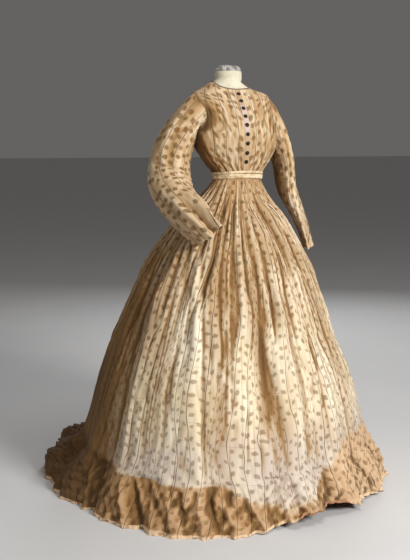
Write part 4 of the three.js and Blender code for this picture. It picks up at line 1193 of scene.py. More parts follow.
# Sleeves
def armhole_point(turn, side):
    """The armhole's edge. Turn 0 is under the arm, a quarter turn the front, half a turn the top."""
    angle = -ARMHOLE_SPREAD * np.sin(turn)
    return torso(angle, row_height(angle, ARMHOLE_MIDDLE - ARMHOLE_HALF * np.cos(turn))) * [side, 1, 1]


def curve_through(points):
    """A function that gives the place at a share of a centripetal Catmull-Rom curve through points."""
    points = np.array(points, float)

    def at(share):
        place = np.clip(np.atleast_1d(share), 0, 1) * (len(points) - 1)
        i = np.minimum(np.floor(place).astype(int), len(points) - 2)
        t = (place - i)[:, None]
        p1, p2 = points[i], points[i + 1]
        p0 = np.where(i[:, None] > 0, points[np.maximum(i - 1, 0)], 2 * points[0] - points[1])
        p3 = np.where(i[:, None] + 2 < len(points), points[np.minimum(i + 2, len(points) - 1)],
                      2 * points[-1] - points[-2])
        d0, d1, d2 = (np.sqrt(np.linalg.norm(q - p, axis=1, keepdims=True))
                      for p, q in ((p0, p1), (p1, p2), (p2, p3)))
        m1 = ((p1 - p0) / d0 - (p2 - p0) / (d0 + d1) + (p2 - p1) / d1) * d1
        m2 = ((p2 - p1) / d1 - (p3 - p1) / (d1 + d2) + (p3 - p2) / d2) * d1
        return p1 + m1 * t + (3 * (p2 - p1) - 2 * m1 - m2) * t ** 2 + (2 * (p1 - p2) + m1 + m2) * t ** 3

    return at


def clear_of_body(p):
    """A sleeve's points moved out, where they have to be, until they lie clear of bodice and skirt."""
    p = p.copy()
    z = p[..., 2]
    square = read(TORSO, z, SQUARE)
    middle = LEAN * (z - WAIST_Z)
    depth = np.where(p[..., 1] < middle, read(TORSO, z, FRONT), read(TORSO, z, BACK)) + SLEEVE_CLEARANCE
    half = read(TORSO, z, HALF) + SLEEVE_CLEARANCE
    inside = (np.abs(p[..., 0]) / half) ** square + (np.abs(p[..., 1] - middle) / depth) ** square
    grow = np.where((z > WAIST_Z) & (inside < 1), np.maximum(inside, 1e-9) ** (-1 / square), 1)
    p[..., 0] *= grow
    p[..., 1] = middle + (p[..., 1] - middle) * grow
    angle = np.arctan2(p[..., 0], -p[..., 1])
    skirt = cone_radius(angle, z) + crest_height(drop_at(z)) + SLEEVE_CLEARANCE
    reach = np.hypot(p[..., 0], p[..., 1])
    grow = np.where((z < SKIRT_TOP) & (reach < skirt), skirt / reach, 1)
    p[..., :2] *= grow[..., None]
    return p


def sleeve_grid(rings, side, extra, slant):
    """Points of a sleeve's outside by rows along it and columns round it."""
    shares = np.linspace(0, 1, SLEEVE_ROWS)
    turns = round_turns(SLEEVE_COLUMNS)
    edge = armhole_point(turns, side)
    centre = armhole_point(round_turns(24), side).mean(axis=0)
    path = curve_through([centre] + [r[:3] for r in rings])
    key = np.arange(len(rings) + 1) / len(rings)
    sizes = np.array([(k, *r) for k, r in zip(key, [rings[0], *rings])])
    points = []
    for s in shares:
        row = s * SOLID_SLEEVE_ROWS
        c = path(s)[0]
        low, high = max(s - 1e-4, 0), min(s + 1e-4, 1)
        along = unit(path(high)[0] - path(low)[0])
        rise = SLEEVE_TILT + SLEEVE_HEAD_TILT * max(0, 1 - s / SLEEVE_HEAD_SHARE)
        out = np.array([side, 0, rise])
        out = unit(out - along * (out @ along))
        front = np.cross(along, out) * side
        twist = read(sizes, s, TURN) * DEG
        out_axis = out * math.cos(twist) + front * math.sin(twist)
        front_axis = front * math.cos(twist) - out * math.sin(twist)
        wave = CUFF_WAVE_HEIGHT * max(0, (s - 1 + CUFF_FADE) / CUFF_FADE)
        flare = np.cos(CUFF_WAVES * turns + CUFF_PHASE + 0.5 * np.sin(turns + 1))
        grow = wave * (flare + 0.9 * np.abs(flare) ** 0.5 * np.sign(flare)) + extra(s, turns)
        outward = -np.cos(turns) * (read(sizes, s, OUTWARD) + grow)
        forward = np.sin(turns) * (read(sizes, s, FORWARD) + grow)
        slope = slant * max(0, (s - 1 + CUFF_SLANT_FADE) / CUFF_SLANT_FADE) ** 2
        longer = slope * (outward * math.cos(CUFF_SLANT_WAY) + forward * math.sin(CUFF_SLANT_WAY))
        tips = np.cos(5 * turns - 0.6) + 0.6 * np.cos(9 * turns + 1.0)
        longer = longer + (0.0045 if slant else 0.0015) * smoothstep(0.86, 1.0, s) * tips
        ring = c + outward[:, None] * out_axis + forward[:, None] * front_axis + longer[:, None] * along
        inset = ARMHOLE_INSET / np.linalg.norm(edge - centre, axis=1, keepdims=True)
        start = edge + (centre - edge) * inset + np.array([side * row * ARMHOLE_EASE, 0, 0])
        own = min(row / ARMHOLE_BLEND_ROWS, 1)
        ring = start + (ring - start) * own
        points.append(clear_of_body(ring) if row >= 1 else ring)
    return np.array(points)


def lengthwise_folds(seed, height, creases, crossing):
    """Soft folds along a sleeve, the creases of its bend, and its small crossing folds."""
    def extra(s, turns):
        u = turns / FULL_TURN
        circle = on_circle(turns) / DEG
        here = np.full_like(u, s)
        body = smoothstep(0.03, 0.16, s)
        folds = noise(u, here * 2.2, 7, seed) * 0.8 + noise(u, here * 5, 15, seed + 1) * 0.4
        total = height * body * folds + body * folded(u, here * 0.6, SLEEVE_CRUMPLE, seed + 5)
        for width, high, path in creases:
            at, shares = np.array(path).T
            fade = within(shares[0], shares[-1], 0.2 * (shares[-1] - shares[0]) + 0.01, s)
            away = on_circle(turns - np.interp(s, shares, at) * DEG)
            total = total + fade * high * ridge(away, width)
        for width, high, path in crossing:
            at, shares = np.array(path).T
            fade = smoothstep(at[0] - 14, at[0] + 14, circle) * smoothstep(at[-1] + 18, at[-1] - 18, circle)
            total = total + fade * high * ridge(s - np.interp(circle, at, shares), width, 1.4)
        return total
    return extra


def make_sleeve(name, rings, side, seed, height, creases, crossing, slant):
    points = sleeve_grid(rings, side, lengthwise_folds(seed, height, creases, crossing), slant)
    if side > 0:
        points = points[:, ::-1]
    points = np.concatenate([points, points[:, :1]], axis=1)
    centre = points[:, :-1].mean(axis=1, keepdims=True)
    radius = np.linalg.norm(points - centre, axis=-1)
    girth = blurred(lengths(points, 1)[:, -1:].T, 8).T
    u = np.linspace(-0.5, 0.5, points.shape[1])[None, :] * girth
    v = lengths(points, 0)
    v = 0.2 * v + 0.8 * v.mean(axis=1, keepdims=True)
    turn = np.linspace(0, 1, points.shape[1])[None, :] + 0 * v
    u = u + 0.003 * noise(turn, v * 16, 9, seed + 40)
    uv = np.stack([u, v + 0.21], -1)
    smooth = blurred(radius[:, :-1], 8, "wrap")
    hollow = np.concatenate([smooth, smooth[:, :1]], axis=1) - radius
    share = np.linspace(0, 1, len(points))[:, None]
    ends = smoothstep(0.985, 0.992, share)
    # Painted shade in the hollows and on the side that faces the body, painted highlight on the ridges,
    # random blotches both ways, and paler towards the cuff; the right sleeve's forearm gets less painted
    # shade and less paleness
    cloud = noise(turn, v * 14, 11, seed + 41)
    inner = smoothstep(0.14, 0.02, np.minimum(turn, 1 - turn)) * smoothstep(1.0, 0.6, share)
    shade = 0.75 * smoothstep(0.0, 0.0032, hollow) + 0.28 * smoothstep(0.0, 0.7, cloud) + 0.7 * inner
    pale = 0.35 * smoothstep(0.0, -0.0022, hollow) + 0.26 * smoothstep(0.40, 0.75, share)
    pale = pale + 0.25 * smoothstep(0.0, -0.7, cloud)
    if side < 0:
        shade = shade * (1 - 0.55 * smoothstep(0.55, 0.80, share))
        pale = pale * (1 - 0.6 * smoothstep(0.50, 0.75, share))
    values = dress_values(v.shape, shade=np.clip(shade, 0, 1.6), edge=0.5 * ends, pale=np.clip(pale, 0, 1))
    return shell(name, points, PRINTED_BODICE, uv, values), points


# Skirt
def waist_radius(angle):
    depth = np.where(np.cos(angle) > 0, TORSO[0, FRONT], TORSO[0, BACK])
    return 1 / np.hypot(np.sin(angle) / TORSO[0, HALF], np.cos(angle) / depth)


def hem_value(angle, column):
    return read(HEM, angle / DEG, column)


def drop_at(z):
    return np.maximum(0, (FLARE_TOP - z) / FLARE_TOP)


def cone_radius(angle, z):
    top = waist_radius(angle) + SKIRT_TOP_EASE
    slim, full = read(FLARE, drop_at(z), SLIM), read(FLARE, drop_at(z), FULLEST)
    return top + (hem_value(angle, CONE) - top) * (slim + (full - slim) * hem_value(angle, FULL))


def crest_height(drop):
    return ((1.5 - 0.5 * (2 - MOST_UNEVEN)) * read(FOLD_HEIGHTS, drop, FINE)
            + MOST_UNEVEN * (1 - FOLD_SET_BACK) * read(FOLD_HEIGHTS, drop, BROAD))


def on_circle(angle):
    """An angle brought back to between -180 and 180 degrees."""
    up = np.where(angle < -math.pi, angle + FULL_TURN, angle)
    return np.where(angle > math.pi, angle - FULL_TURN, up)


def skirt_rows():
    """Rows of the skirt: each is a height down to the knee row, then a share of the way to the hem."""
    near_waist = np.linspace(SKIRT_TOP, 1.0, 24)[:-1]
    cone = np.linspace(1.0, KNEE_Z, 84)
    share = np.concatenate([np.linspace(0, 0.9, 34)[1:], np.linspace(0.9, 1, 9)[1:]])
    z = np.concatenate([near_waist, cone, np.full(len(share), KNEE_Z)])
    return z, np.concatenate([np.zeros(len(z) - len(share)), share])


def skirt_base(angle, z, share):
    """The skirt's smooth surface, and how much of the outward direction is level near the hem."""
    fade = np.maximum(0, 1 - (SKIRT_TOP - z) / ARCH_FADE)
    arched = z + WAIST_ARCH * np.maximum(np.cos(angle), 0) ** 2 * fade
    lift = hem_value(angle, LIFT)
    plain = lift + (KNEE_Z - lift) * (1 - share)
    puffed = read(TRAIN_PROFILE, share, 1)
    low = plain + (puffed - plain) * hem_value(angle, PUFF)
    height = np.where(share > 0, low, arched)
    cone = cone_radius(angle, z)
    radius = cone + (hem_value(angle, HEM_RADIUS) - cone) * share
    return np.stack([radius * np.sin(angle), -radius * np.cos(angle), height], -1)


def fold_phase(angle):
    return BROAD_FOLDS * angle + FOLD_DRIFT * np.sin(2 * angle)


def along_paths(table, angle, z, sharpness=1.6):
    """Sum of the ridges, troughs or streaks of a table, each along its own line down the skirt."""
    radius = cone_radius(angle, np.maximum(z, KNEE_Z))
    total = np.zeros(np.broadcast(angle, z).shape)
    for width, height, path in table:
        heights, angles = np.array(path[::-1]).T
        away = on_circle(angle - np.interp(z, heights, angles) * DEG) * radius
        fade = within(heights[0], heights[-1], 0.14 * (heights[-1] - heights[0]), z)
        total += fade * height * ridge(away, width, sharpness)
    return total


def wander(angle, z):
    """How far the folds stray sideways, as an angle."""
    turn = turn_share(angle)
    return 0.055 * noise(turn, z * 4.6, 21, 111) + 0.020 * noise(turn, z * 11.0, 53, 112)


def hem_creases(angle, share):
    total = np.zeros(np.broadcast(angle, share).shape)
    radius = hem_value(angle, HEM_RADIUS)
    for width, height, high, low in HEM_CREASES:
        away = on_circle(angle - (high + (low - high) * share) * DEG) * radius
        spread = width * (0.7 + 0.6 * share)
        total += smoothstep(0, 0.4, share) * height * ridge(away, spread)
    return total


def small_gathers(angle, z, seed, count, top, reach, width, height, lean):
    """Gathers of uneven length and place that hang from the waist; each narrows to a crease."""
    rng = np.random.default_rng(seed)
    radius = cone_radius(angle, np.maximum(z, KNEE_Z))
    total = np.zeros(np.broadcast(angle, z).shape)
    for k in range(count):
        at = (k + rng.uniform(-0.45, 0.45)) / count * FULL_TURN - math.pi
        start, length, way = rng.uniform(*top), rng.uniform(*reach), rng.uniform(-lean, lean)
        wide, high = rng.uniform(*width), rng.uniform(*height)
        down = np.clip((start - z) / length, 0, 1.2)
        sway, rate, turned = rng.uniform(0.002, 0.007), rng.uniform(9, 22), rng.uniform(0, 6)
        swayed = sway * np.sin(rate * z + turned) / np.maximum(radius, 0.12)
        middle = at + way * down * (1 - 0.3 * down) + swayed
        away = on_circle(angle - middle) * radius
        fade = smoothstep(0, 0.12, down) * smoothstep(1.0, 0.45, down)
        spread = wide * (0.35 + 0.65 * np.clip(radius / 0.3, 0, 1.2))
        total += high * fade * ridge(away, spread, 1.3)
    return total


def fold_field(angle, z, share):
    """Height of all the folds over the smooth surface."""
    drop = np.where(share > 0, 1, drop_at(z))
    fine, broad = read(FOLD_HEIGHTS, drop, FINE), read(FOLD_HEIGHTS, drop, BROAD)
    uneven = 1 + UNEVEN_BY_THIRDS * np.sin(3 * angle + 1) + UNEVEN_BY_FIFTHS * np.sin(5 * angle + 2.2)
    turn = turn_share(angle)
    stray = on_circle(angle + wander(angle, z) * smoothstep(0.0, 0.05, drop) * smoothstep(1.0, 0.8, drop))
    wave = np.cos(fold_phase(stray))
    strength = 0.40 + 0.55 * noise(turn, 2.0 * drop, 13, 8)
    strength = strength + (0.9 - strength) * smoothstep(0.8, 1.0, drop)
    gather_phase = GATHERS * stray + 2.6 * noise(turn, 4 * drop, 17, 9)
    gather = 1.4 * np.abs(np.cos(gather_phase / 2)) ** 0.6 - 0.9
    often = np.clip(0.50 + 0.9 * noise(turn, 3 * drop, 23, 10), 0.0, 1.3)
    total = fine * gather * (1.5 - 0.5 * uneven) * (often + (0.9 - often) * smoothstep(0.05, 0.0, drop))
    total += broad * uneven * (strength * wave - FOLD_SET_BACK)
    for gather_set in SMALL_GATHERS:
        total += small_gathers(stray, z, *gather_set)
    total = np.minimum(total, crest_height(drop) + 0.0012 + 0.02 * smoothstep(0.86, 0.74, z))
    line = np.abs(noise(turn, z * 2.4 + 5, 170, 6))
    line = smoothstep(0.30, 0.0, line) * np.clip(noise(turn, z * 5, 31, 7) + 0.5, 0, 1)
    total -= 0.0022 * line * smoothstep(0.04, 0.2, drop) * (1 - share)
    small = folded(turn, 1.1 - z, SKIRT_CRUMPLE, 40) * smoothstep(0.08, 0.3, drop)
    soft = noise(turn, 7 * drop, 90, 5) * 0.0016 * smoothstep(0.0, 0.06, drop)
    total = total * (1 - HEM_FOLD_LOSS * share) + small + soft
    total = np.maximum(total, -0.0014 - 0.26 * drop)
    return total + along_paths(CREASES, angle + 0.3 * wander(angle, z), z) * (1 - share)


def hem_crumple(angle, share):
    """Creases of the hem band and of the heaped train."""
    turn = turn_share(angle)
    puff = hem_value(angle, PUFF)
    way = share * (0.15 + 0.2 * puff)
    band_folds = folded(turn, way, HEM_CRUMPLE, 60) * smoothstep(0, 0.3, share)
    heap = folded(turn, way, TRAIN_CRUMPLE, 80) * smoothstep(0, 0.2, share) * smoothstep(1.0, 0.85, share)
    return band_folds * (1 - 0.3 * puff) + puff * heap + hem_creases(angle, share)


def skirt_grid(angle):
    """Points of the skirt with all its folds, for columns at these angles."""
    z, share = (a[:, None] for a in skirt_rows())
    angle = angle[None, :]
    base = skirt_base(angle, z, share)
    after, before = (skirt_base(on_circle(angle + step), z, share) for step in (0.01, -0.01))
    normal = unit(np.cross(unit(after - before), np.gradient(base, axis=0)))
    outward = np.stack([np.sin(angle) + 0 * z, -np.cos(angle) + 0 * z, 0 * angle + 0 * z], -1)
    normal = np.where((normal * outward).sum(-1, keepdims=True) < 0, -normal, normal)
    tilt = np.where(share > 0, hem_value(angle, PUFF) * (1 - share), 1)[..., None]
    away = unit(outward + (normal - outward) * tilt)
    for _ in range(3):
        away[1:-1] = unit(away[:-2] + away[1:-1] * 2 + away[2:])
        base[1:-1] = (base[:-2] + base[1:-1] * 2 + base[2:]) / 4
    folds = fold_field(angle, z, share)
    crumple = hem_crumple(angle, share)
    points = base + away * (folds + crumple)[..., None]
    turned = read(HEM_ROLL, angle / DEG, 1) * smoothstep(0.80, 0.86, share)
    t = np.clip((share - 0.84) / 0.16, 0, 1)
    points += outward * (turned * 0.017 * np.sin(math.pi * np.clip(t * 0.75, 0, 1)))[..., None]
    rise = turned * (0.030 * t ** 1.6 * (1 + 0.25 * noise(turn_share(angle), 0 * t, 160, 113)))
    points[..., 2] = np.maximum(points[..., 2], 0.0004) + rise
    return points, folds + crumple, base[..., 2], share


def print_place(angle, radius):
    """Where the print lies across the cloth: true to size on each crest, the rest hidden in the valleys."""
    r = np.clip(radius / PRINT_RADIUS, 0, 1)
    sharpness = 5

    def stairs(count, drift):
        phase = count * angle + drift
        k = np.round(phase / FULL_TURN)
        t = phase / math.pi - 2 * k
        return (FULL_TURN * k + math.pi * np.sign(t) * np.abs(t) ** sharpness - drift) / count

    narrow = smoothstep(0.85, 0.35, r)
    broad = stairs(BROAD_FOLDS, FOLD_DRIFT * np.sin(2 * angle))
    stepped = narrow * stairs(GATHERS, 0) + (1 - narrow) * broad
    return (angle * r + stepped * (1 - r)) * 0.66


def make_skirt():
    made, hem_lines = [], []
    for name, start, end in SKIRT_PANELS:
        count = round((end - start) / (BACK_STEP if name.endswith(("back", "train")) else SIDE_STEP))
        angle = np.linspace(start, end, count) * DEG
        points, folds, z, share = skirt_grid(angle)
        inset = np.zeros(count)
        inset[0], inset[-1] = SEAM_GAP / 2, -SEAM_GAP / 2
        points[..., 0] += inset * np.cos(angle)
        points[..., 1] += inset * np.sin(angle)
        turn = turn_share(angle[None, :])
        radius = np.hypot(points[..., 0], points[..., 1])
        v = lengths(points, 0)
        to_hem = v[-1:, :] - v
        stray = on_circle(angle[None, :] + wander(angle[None, :], z) * smoothstep(0.0, 0.05, drop_at(z)))
        stray = stray + (angle[None, :] - stray) * smoothstep(0.75, 1.0, drop_at(z))
        across = print_place(stray, radius)
        across = across + 0.0035 * noise(turn, v * 14, 61, 23) + 0.0018 * noise(turn, v * 33, 150, 24)
        uv = np.stack([across, v + 0.005 * noise(turn, v * 5, 37, 25)], -1)
        strip_width = 0.011 + 0.006 * np.maximum(noise(turn, 0 * v, 33, 26), -0.4)
        edge = smoothstep(strip_width + 0.001, strip_width - 0.001, to_hem)
        values = skirt_values(angle[None, :], z, folds, edge, share)
        depth = np.argmin(np.abs(to_hem - HEM_STITCH_RISE), axis=0)
        hem_lines.append((name, points[depth, np.arange(count)]))
        outer = points + unit(points * [1, 1, 0]) * (edge * 0.0008)[..., None]
        values = {k: q[::-1] for k, q in values.items()}
        piece = shell(name + "_cloth", outer[::-1], PRINTED, uv[::-1], values)
        made.append((piece, name, points))
    return made, hem_lines


def skirt_values(angle, height, folds, edge, share):
    """Tone of the skirt: painted shade in the valleys, on the side away from the light and on the train,
    painted highlight on the crests, warm at the hem and the train.
    """
    turn = turn_share(angle)
    # Painted shade in the valleys and painted highlight on the crests, from each fold's height against its
    # neighbours'
    hollow = blurred(folds, 14) - folds
    fine = blurred(folds, 4) - folds
    depth = 0.85 * smoothstep(-0.0010, 0.0050, hollow) + 0.60 * smoothstep(0.0001, 0.0013, fine)
    crest = smoothstep(0.0008, -0.0030, hollow) + 0.9 * smoothstep(-0.0001, -0.0012, fine)
    uneven = np.clip(0.75 + 0.9 * noise(turn, height * 7, 37, 30), 0.1, 1.4)
    crest, depth = crest * uneven, depth * np.clip(1.5 - 0.6 * uneven, 0.5, 1.3)
    # Painted shade and painted highlight along the long streaks
    streak_shade = along_paths(SHADE_STREAKS, angle, height, 2.0)
    light = along_paths(HIGHLIGHT_STREAKS, angle, height, 2.0)
    border = read(HEM_BAND, angle / DEG, 1) + 0.008 * noise(turn, height * 0 + 0.5, 60, 21)
    soft = np.interp(angle / DEG, [-32, -20, -10, 6, 18, 30], [0.005, 0.012, 0.022, 0.022, 0.014, 0.006])
    above = smoothstep(border - soft, border + soft, height)
    depth = depth * (1 - 0.85 * above * smoothstep(0.24, 0.14, height))
    shade = depth * np.interp(height, [0.1, 0.3, 0.7, 1.0], [0.75, 0.55, 0.66, 0.72])
    shade = shade + 0.42 * streak_shade - 0.40 * light
    # Painted shade on the wearer's right side and towards the back, away from the light, strongest low down
    shaded_side = smoothstep(-58 * DEG, -92 * DEG, angle) * smoothstep(-178 * DEG, -140 * DEG, angle)
    shade = shade + shaded_side * np.interp(height, [0.3, 0.7, 1.0], [1.25, 0.80, 0.05]) + 0.04
    stains = 0.30 * smoothstep(0.0, 0.7, noise(turn, height * 3, 23, 27)) * smoothstep(0.2, 0.4, height)
    specks = 0.25 * smoothstep(0.1, 0.7, noise(turn, height * 14, 71, 29)) * smoothstep(0.45, 0.7, height)
    shade = shade + stains + specks
    blotch = noise(turn, height * 22, 110, 31) * smoothstep(0.50, 0.80, height)
    shade = shade + 0.30 * smoothstep(0.25, 0.8, blotch)
    warm = 1 - above
    # Paler cloth above the hem band, with painted highlight on the crests and along the highlight streaks
    cream = smoothstep(1.04, 0.42, height) * above
    cream = cream * (0.80 + 0.22 * noise(turn, height * 4, 14, 22)) + np.interp(
        height, [0.3, 0.8, 1.0], [0.22, 0.30, 0.36]) * crest
    cream = cream + 0.35 * light - 0.30 * streak_shade + 0.30 * smoothstep(-0.25, -0.8, blotch)
    # On the hem band: painted highlight on the crests and on facets that slope towards the light, paler on
    # the wearer's left front; painted shade on facets that slope away and towards the wearer's right front
    slope = -np.gradient(folds, axis=1) / (np.gradient(angle[0]) * hem_value(angle, HEM_RADIUS))
    left_front = smoothstep(-5 * DEG, 25 * DEG, angle) * smoothstep(110 * DEG, 70 * DEG, angle)
    cream = cream + (1 - above) * (0.12 + 0.35 * smoothstep(-0.0005, -0.0060, hollow)
                                   + 0.55 * smoothstep(0.12, 0.55, slope) + 0.35 * left_front)
    shade = shade + (1 - above) * (0.45 * smoothstep(-0.12, -0.60, slope) + 0.22 * smoothstep(
        -28 * DEG, -50 * DEG, angle))
    peach = smoothstep(2 * DEG, 22 * DEG, angle) * smoothstep(115 * DEG, 70 * DEG, angle) * (1 - above)
    grey = smoothstep(0.34, 0.20, height) * above * (0.85 + 0.3 * noise(turn, height * 6, 17, 28))
    grey = grey * smoothstep(1.0, 0.2, depth) * (1 - 0.4 * np.clip(crest, 0, 1))
    # Painted shade on the heaped train and in the hem band's hollows, more of it towards the wearer's right
    puff = hem_value(angle, PUFF) * smoothstep(0.1, 0.5, share)
    hem_shade = smoothstep(-6 * DEG, -40 * DEG, angle) * 0.15 + 0.3 * smoothstep(0.0, 0.006, hollow)
    hem_shade = (1 - above) * hem_shade
    shade = np.clip(shade + puff * 1.3 + hem_shade, 0, 1.9) * (1 - 0.8 * edge)
    return dress_values(height.shape, shade=shade, pale=np.clip(cream, 0, 1), grey=np.clip(grey, 0, 1),
                        warm=warm, edge=np.clip(edge + 0.55 * peach, 0, 1))


# Trimmings
def strip(name, angles, low_z, height, stand_off, thickness, crown, wraps, waves):
    """A strip round the waist whose face is crowned and whose edges are rounded."""
    steps = np.linspace(0, 1, 25)[:, None]
    turn = (angles / FULL_TURN) % 1
    bent = noise(turn, 0 * turn + 0.5, 9, 44) * waves
    z = low_z(angles)[None, :] + steps * height + bent[None, :] * (1.2 - 0.5 * steps)
    outward = np.stack([np.cos(angles), np.sin(angles), 0 * angles], -1)[None]
    turn = turn[None, :] + 0 * steps
    drawn = turn * 34 + 0.5 * steps + 0.8 * noise(turn, 0 * turn + steps, 19, 42)
    ripple = waves * (0.7 * noise(turn, steps * 2.6 + 0 * turn, 46, 41)
                      + 0.6 * np.abs(np.cos(math.pi * drawn)) - 0.5)
    tucks = np.abs(np.sin(math.pi * (2.5 * steps + 0.45 * noise(turn, 0 * turn, 11, 43))))
    ripple = ripple + waves * 0.9 * (tucks - 0.6)
    edge = thickness * (1 - (2 * steps - 1) ** 8 * 0.75)
    off = stand_off(np.linspace(0, 1, len(angles)))[None, :]
    base = torso(angles[None, :] + 0 * steps, np.maximum(z, WAIST_Z))
    base[..., 2] = z
    outer = base + outward * (off + edge + 4 * crown * steps * (1 - steps) + ripple)[..., None]
    inner = base + outward * off[..., None]
    if wraps:
        outer, inner = (np.concatenate([g, g[:, :1]], axis=1) for g in (outer, inner))
    return shell(name, outer, TRIM, walked(outer), inner=inner), outer


def band_low(angle):
    return waistline(angle) + BAND_LOW


def belt_low(angle):
    return waistline(angle) + BELT_LOW + BELT_TWIST * np.sin(2 * angle + BELT_TWIST_PHASE)


def make_waist_band():
    return strip("waist_band_cloth", round_turns(240), band_low, BAND_HEIGHT,
                 lambda t: TRIM_STAND_OFF + 0 * t, BAND_WALL, 0, True, BAND_WAVES)


def make_belt():
    turn = FULL_TURN + BELT_OVERLAP
    angles = FRONT_ANGLE + BELT_START + np.linspace(0, 1, 260) * turn
    lift = BELT_WALL + BELT_CROWN + 2 * SEAM_GAP
    ramp_start = 1 - (BELT_OVERLAP * BELT_RAMP_START) / turn
    ramp_end = 1 - (BELT_OVERLAP * BELT_RAMP_END) / turn

    def stand_off(t):
        return TRIM_STAND_OFF + lift * np.clip((t - ramp_start) / (ramp_end - ramp_start), 0, 1)

    return strip("belt_cloth", angles, belt_low, BELT_HEIGHT,
                 stand_off, BELT_WALL, BELT_CROWN, False, BELT_WAVES)


def tube(name, line, across, up, radius_across, radius_up, material, sides):
    """A rounded cord along a closed line, with its own two directions at each point."""
    turns = round_turns(sides)
    rings = (line[:, None] + across[:, None] * np.cos(turns)[None, :, None] * radius_across
             + up[:, None] * np.sin(turns)[None, :, None] * radius_up)
    count = len(line)
    grid = np.arange(count * sides).reshape(count, sides)
    following = np.roll(grid, -1, axis=0)
    faces = np.stack([grid, np.roll(grid, -1, 1), np.roll(following, -1, 1), following], -1).reshape(-1, 4)
    along = lengths(line, 0)
    uv = np.stack([along[:, None] + 0 * turns[None], turns[None] * radius_up + 0 * along[:, None]], -1)
    return make_mesh(name, rings.reshape(-1, 3), faces[:, ::-1], material, uv.reshape(-1, 2))


def make_binding():
    angles = round_turns(220)
    outward = np.stack([np.cos(angles), np.sin(angles), 0 * angles], -1)
    line = close_neck(torso(angles, neckline(angles)))
    rise = (SEAM_GAP + BINDING_HEIGHT) / 2
    line[:, 2] += rise
    line -= outward * (rise * BINDING_SLOPE + BINDING_WALL / 2)
    up = np.array([0, 0, 1.0]) - outward * BINDING_SLOPE
    return tube("neck_binding_cord", line, outward, up, BINDING_WALL / 2, (BINDING_HEIGHT - SEAM_GAP) / 2,
                BINDING, 14)


def make_armhole_piping(name, side):
    line = armhole_point(round_turns(150), side)
    inwards = unit(line.mean(axis=0) - line)
    out = unit(np.cross(unit(np.roll(line, -1, 0) - np.roll(line, 1, 0)), inwards))
    out = np.where((out[:, :1] * side) < 0, -out, out)
    line = line + out * PIPING_STAND_OFF
    return tube(name, line, out, inwards, PIPING_RADIUS, PIPING_RADIUS, PIPING, 8)


def placket_line(height, off):
    """Points across the placket at each height: from the wearer's right to the left."""
    half = np.linspace(-1, 1, PLACKET_COLUMNS)
    mirror = np.stack([np.sign(half), np.ones_like(half), np.ones_like(half)], -1)
    rows = []
    for side_z in height:
        z = row_height(FRONT_ANGLE, side_z)
        ratio = np.maximum(np.abs(half) * PLACKET_HALF, 1e-6) / read(TORSO, z, HALF)
        angle = FRONT_ANGLE + np.arcsin(ratio ** (read(TORSO, z, SQUARE) / 2))
        reach = -armhole_reach(np.array(side_z)) - EDGE_TRIM - FRONT_ANGLE
        here = row_height(angle, side_z)
        stand_off = gathers((angle - FRONT_ANGLE) / reach, here) + off
        rows.append((torso(angle, here) + torso_normal(angle, here) * stand_off[:, None]) * mirror)
    return np.array(rows)


def make_placket():
    side_z = np.linspace(PLACKET_LOW_Z, NECK_SIDE_Z, 110)
    outer = placket_line(side_z, SEAM_GAP + PLACKET_WALL)
    inner = placket_line(side_z, SEAM_GAP)
    across, down = np.meshgrid(np.linspace(-1, 1, PLACKET_COLUMNS), side_z)
    ripple = PLACKET_RIPPLE * noise(across * 0.2 + 0.5, down * 130, 6, 51)
    ripple = ripple - PLACKET_EDGE * np.abs(across) ** 8
    outer = outer + torso_normal(FRONT_ANGLE + 0 * across, outer[..., 2]) * ripple[..., None]
    return shell("front_placket_cloth", outer, PLACKET, walked(outer), inner=inner), outer


def button_places():
    """Places of the buttons, evenly spaced along the middle of the placket."""
    side_z = np.linspace(PLACKET_LOW_Z, NECK_SIDE_Z, 600)
    z = row_height(FRONT_ANGLE, side_z)
    angle = np.full_like(z, FRONT_ANGLE)
    line = torso(angle, z) + torso_normal(angle, z) * (SEAM_GAP + PLACKET_WALL + gathers(0 * z, z))[:, None]
    line = line[(line[:, 2] <= BUTTON_TOP_Z) & (line[:, 2] >= BUTTON_LOW_Z)][::-1]
    walk = lengths(line, 0)
    places = []
    for t in np.linspace(0, walk[-1], BUTTON_COUNT):
        k = min(int(np.searchsorted(walk, t)), len(line) - 2)
        up = line[k] - line[k + 1]
        places.append((line[k], unit(np.array([0, -up[2], up[1]]))))
    return places


def make_buttons():
    profile = np.array([
        (0.0, 0.0), (0.70, 0.0), (0.90, 0.02), (0.985, 0.14), (1.0, 0.27), (0.965, 0.40), (0.90, 0.47),
        (0.86, 0.50), (0.80, 0.60), (0.66, 0.75), (0.48, 0.88), (0.26, 0.97), (0.0, 1.0),
    ]) * [BUTTON_RADIUS, BUTTON_HEIGHT]
    columns = BUTTON_COLUMNS
    side = np.array([1.0, 0, 0])
    made = []
    for k, (place, normal) in enumerate(button_places()):
        up = np.cross(normal, side)
        rings = [place + normal * (h + SEAM_GAP) + r * (side * math.cos(t) + up * math.sin(t))
                 for r, h in profile[1:-1] for t in round_turns(columns)]
        points = [place + normal * SEAM_GAP] + rings + [place + normal * (profile[-1, 1] + SEAM_GAP)]
        last = len(points) - 1
        faces = [list(f) for f in quads(len(profile) - 2, columns, 1, wraps=True)]
        faces += [[0, 1 + (i + 1) % columns, 1 + i] for i in range(columns)]
        faces += [[last, last - columns + i, last - columns + (i + 1) % columns] for i in range(columns)]
        piece = make_mesh(f"button_{k + 1}_dome", np.array(points), faces, BUTTON)
        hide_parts(f"button_{k + 1}")
        made.append(piece)
    return made


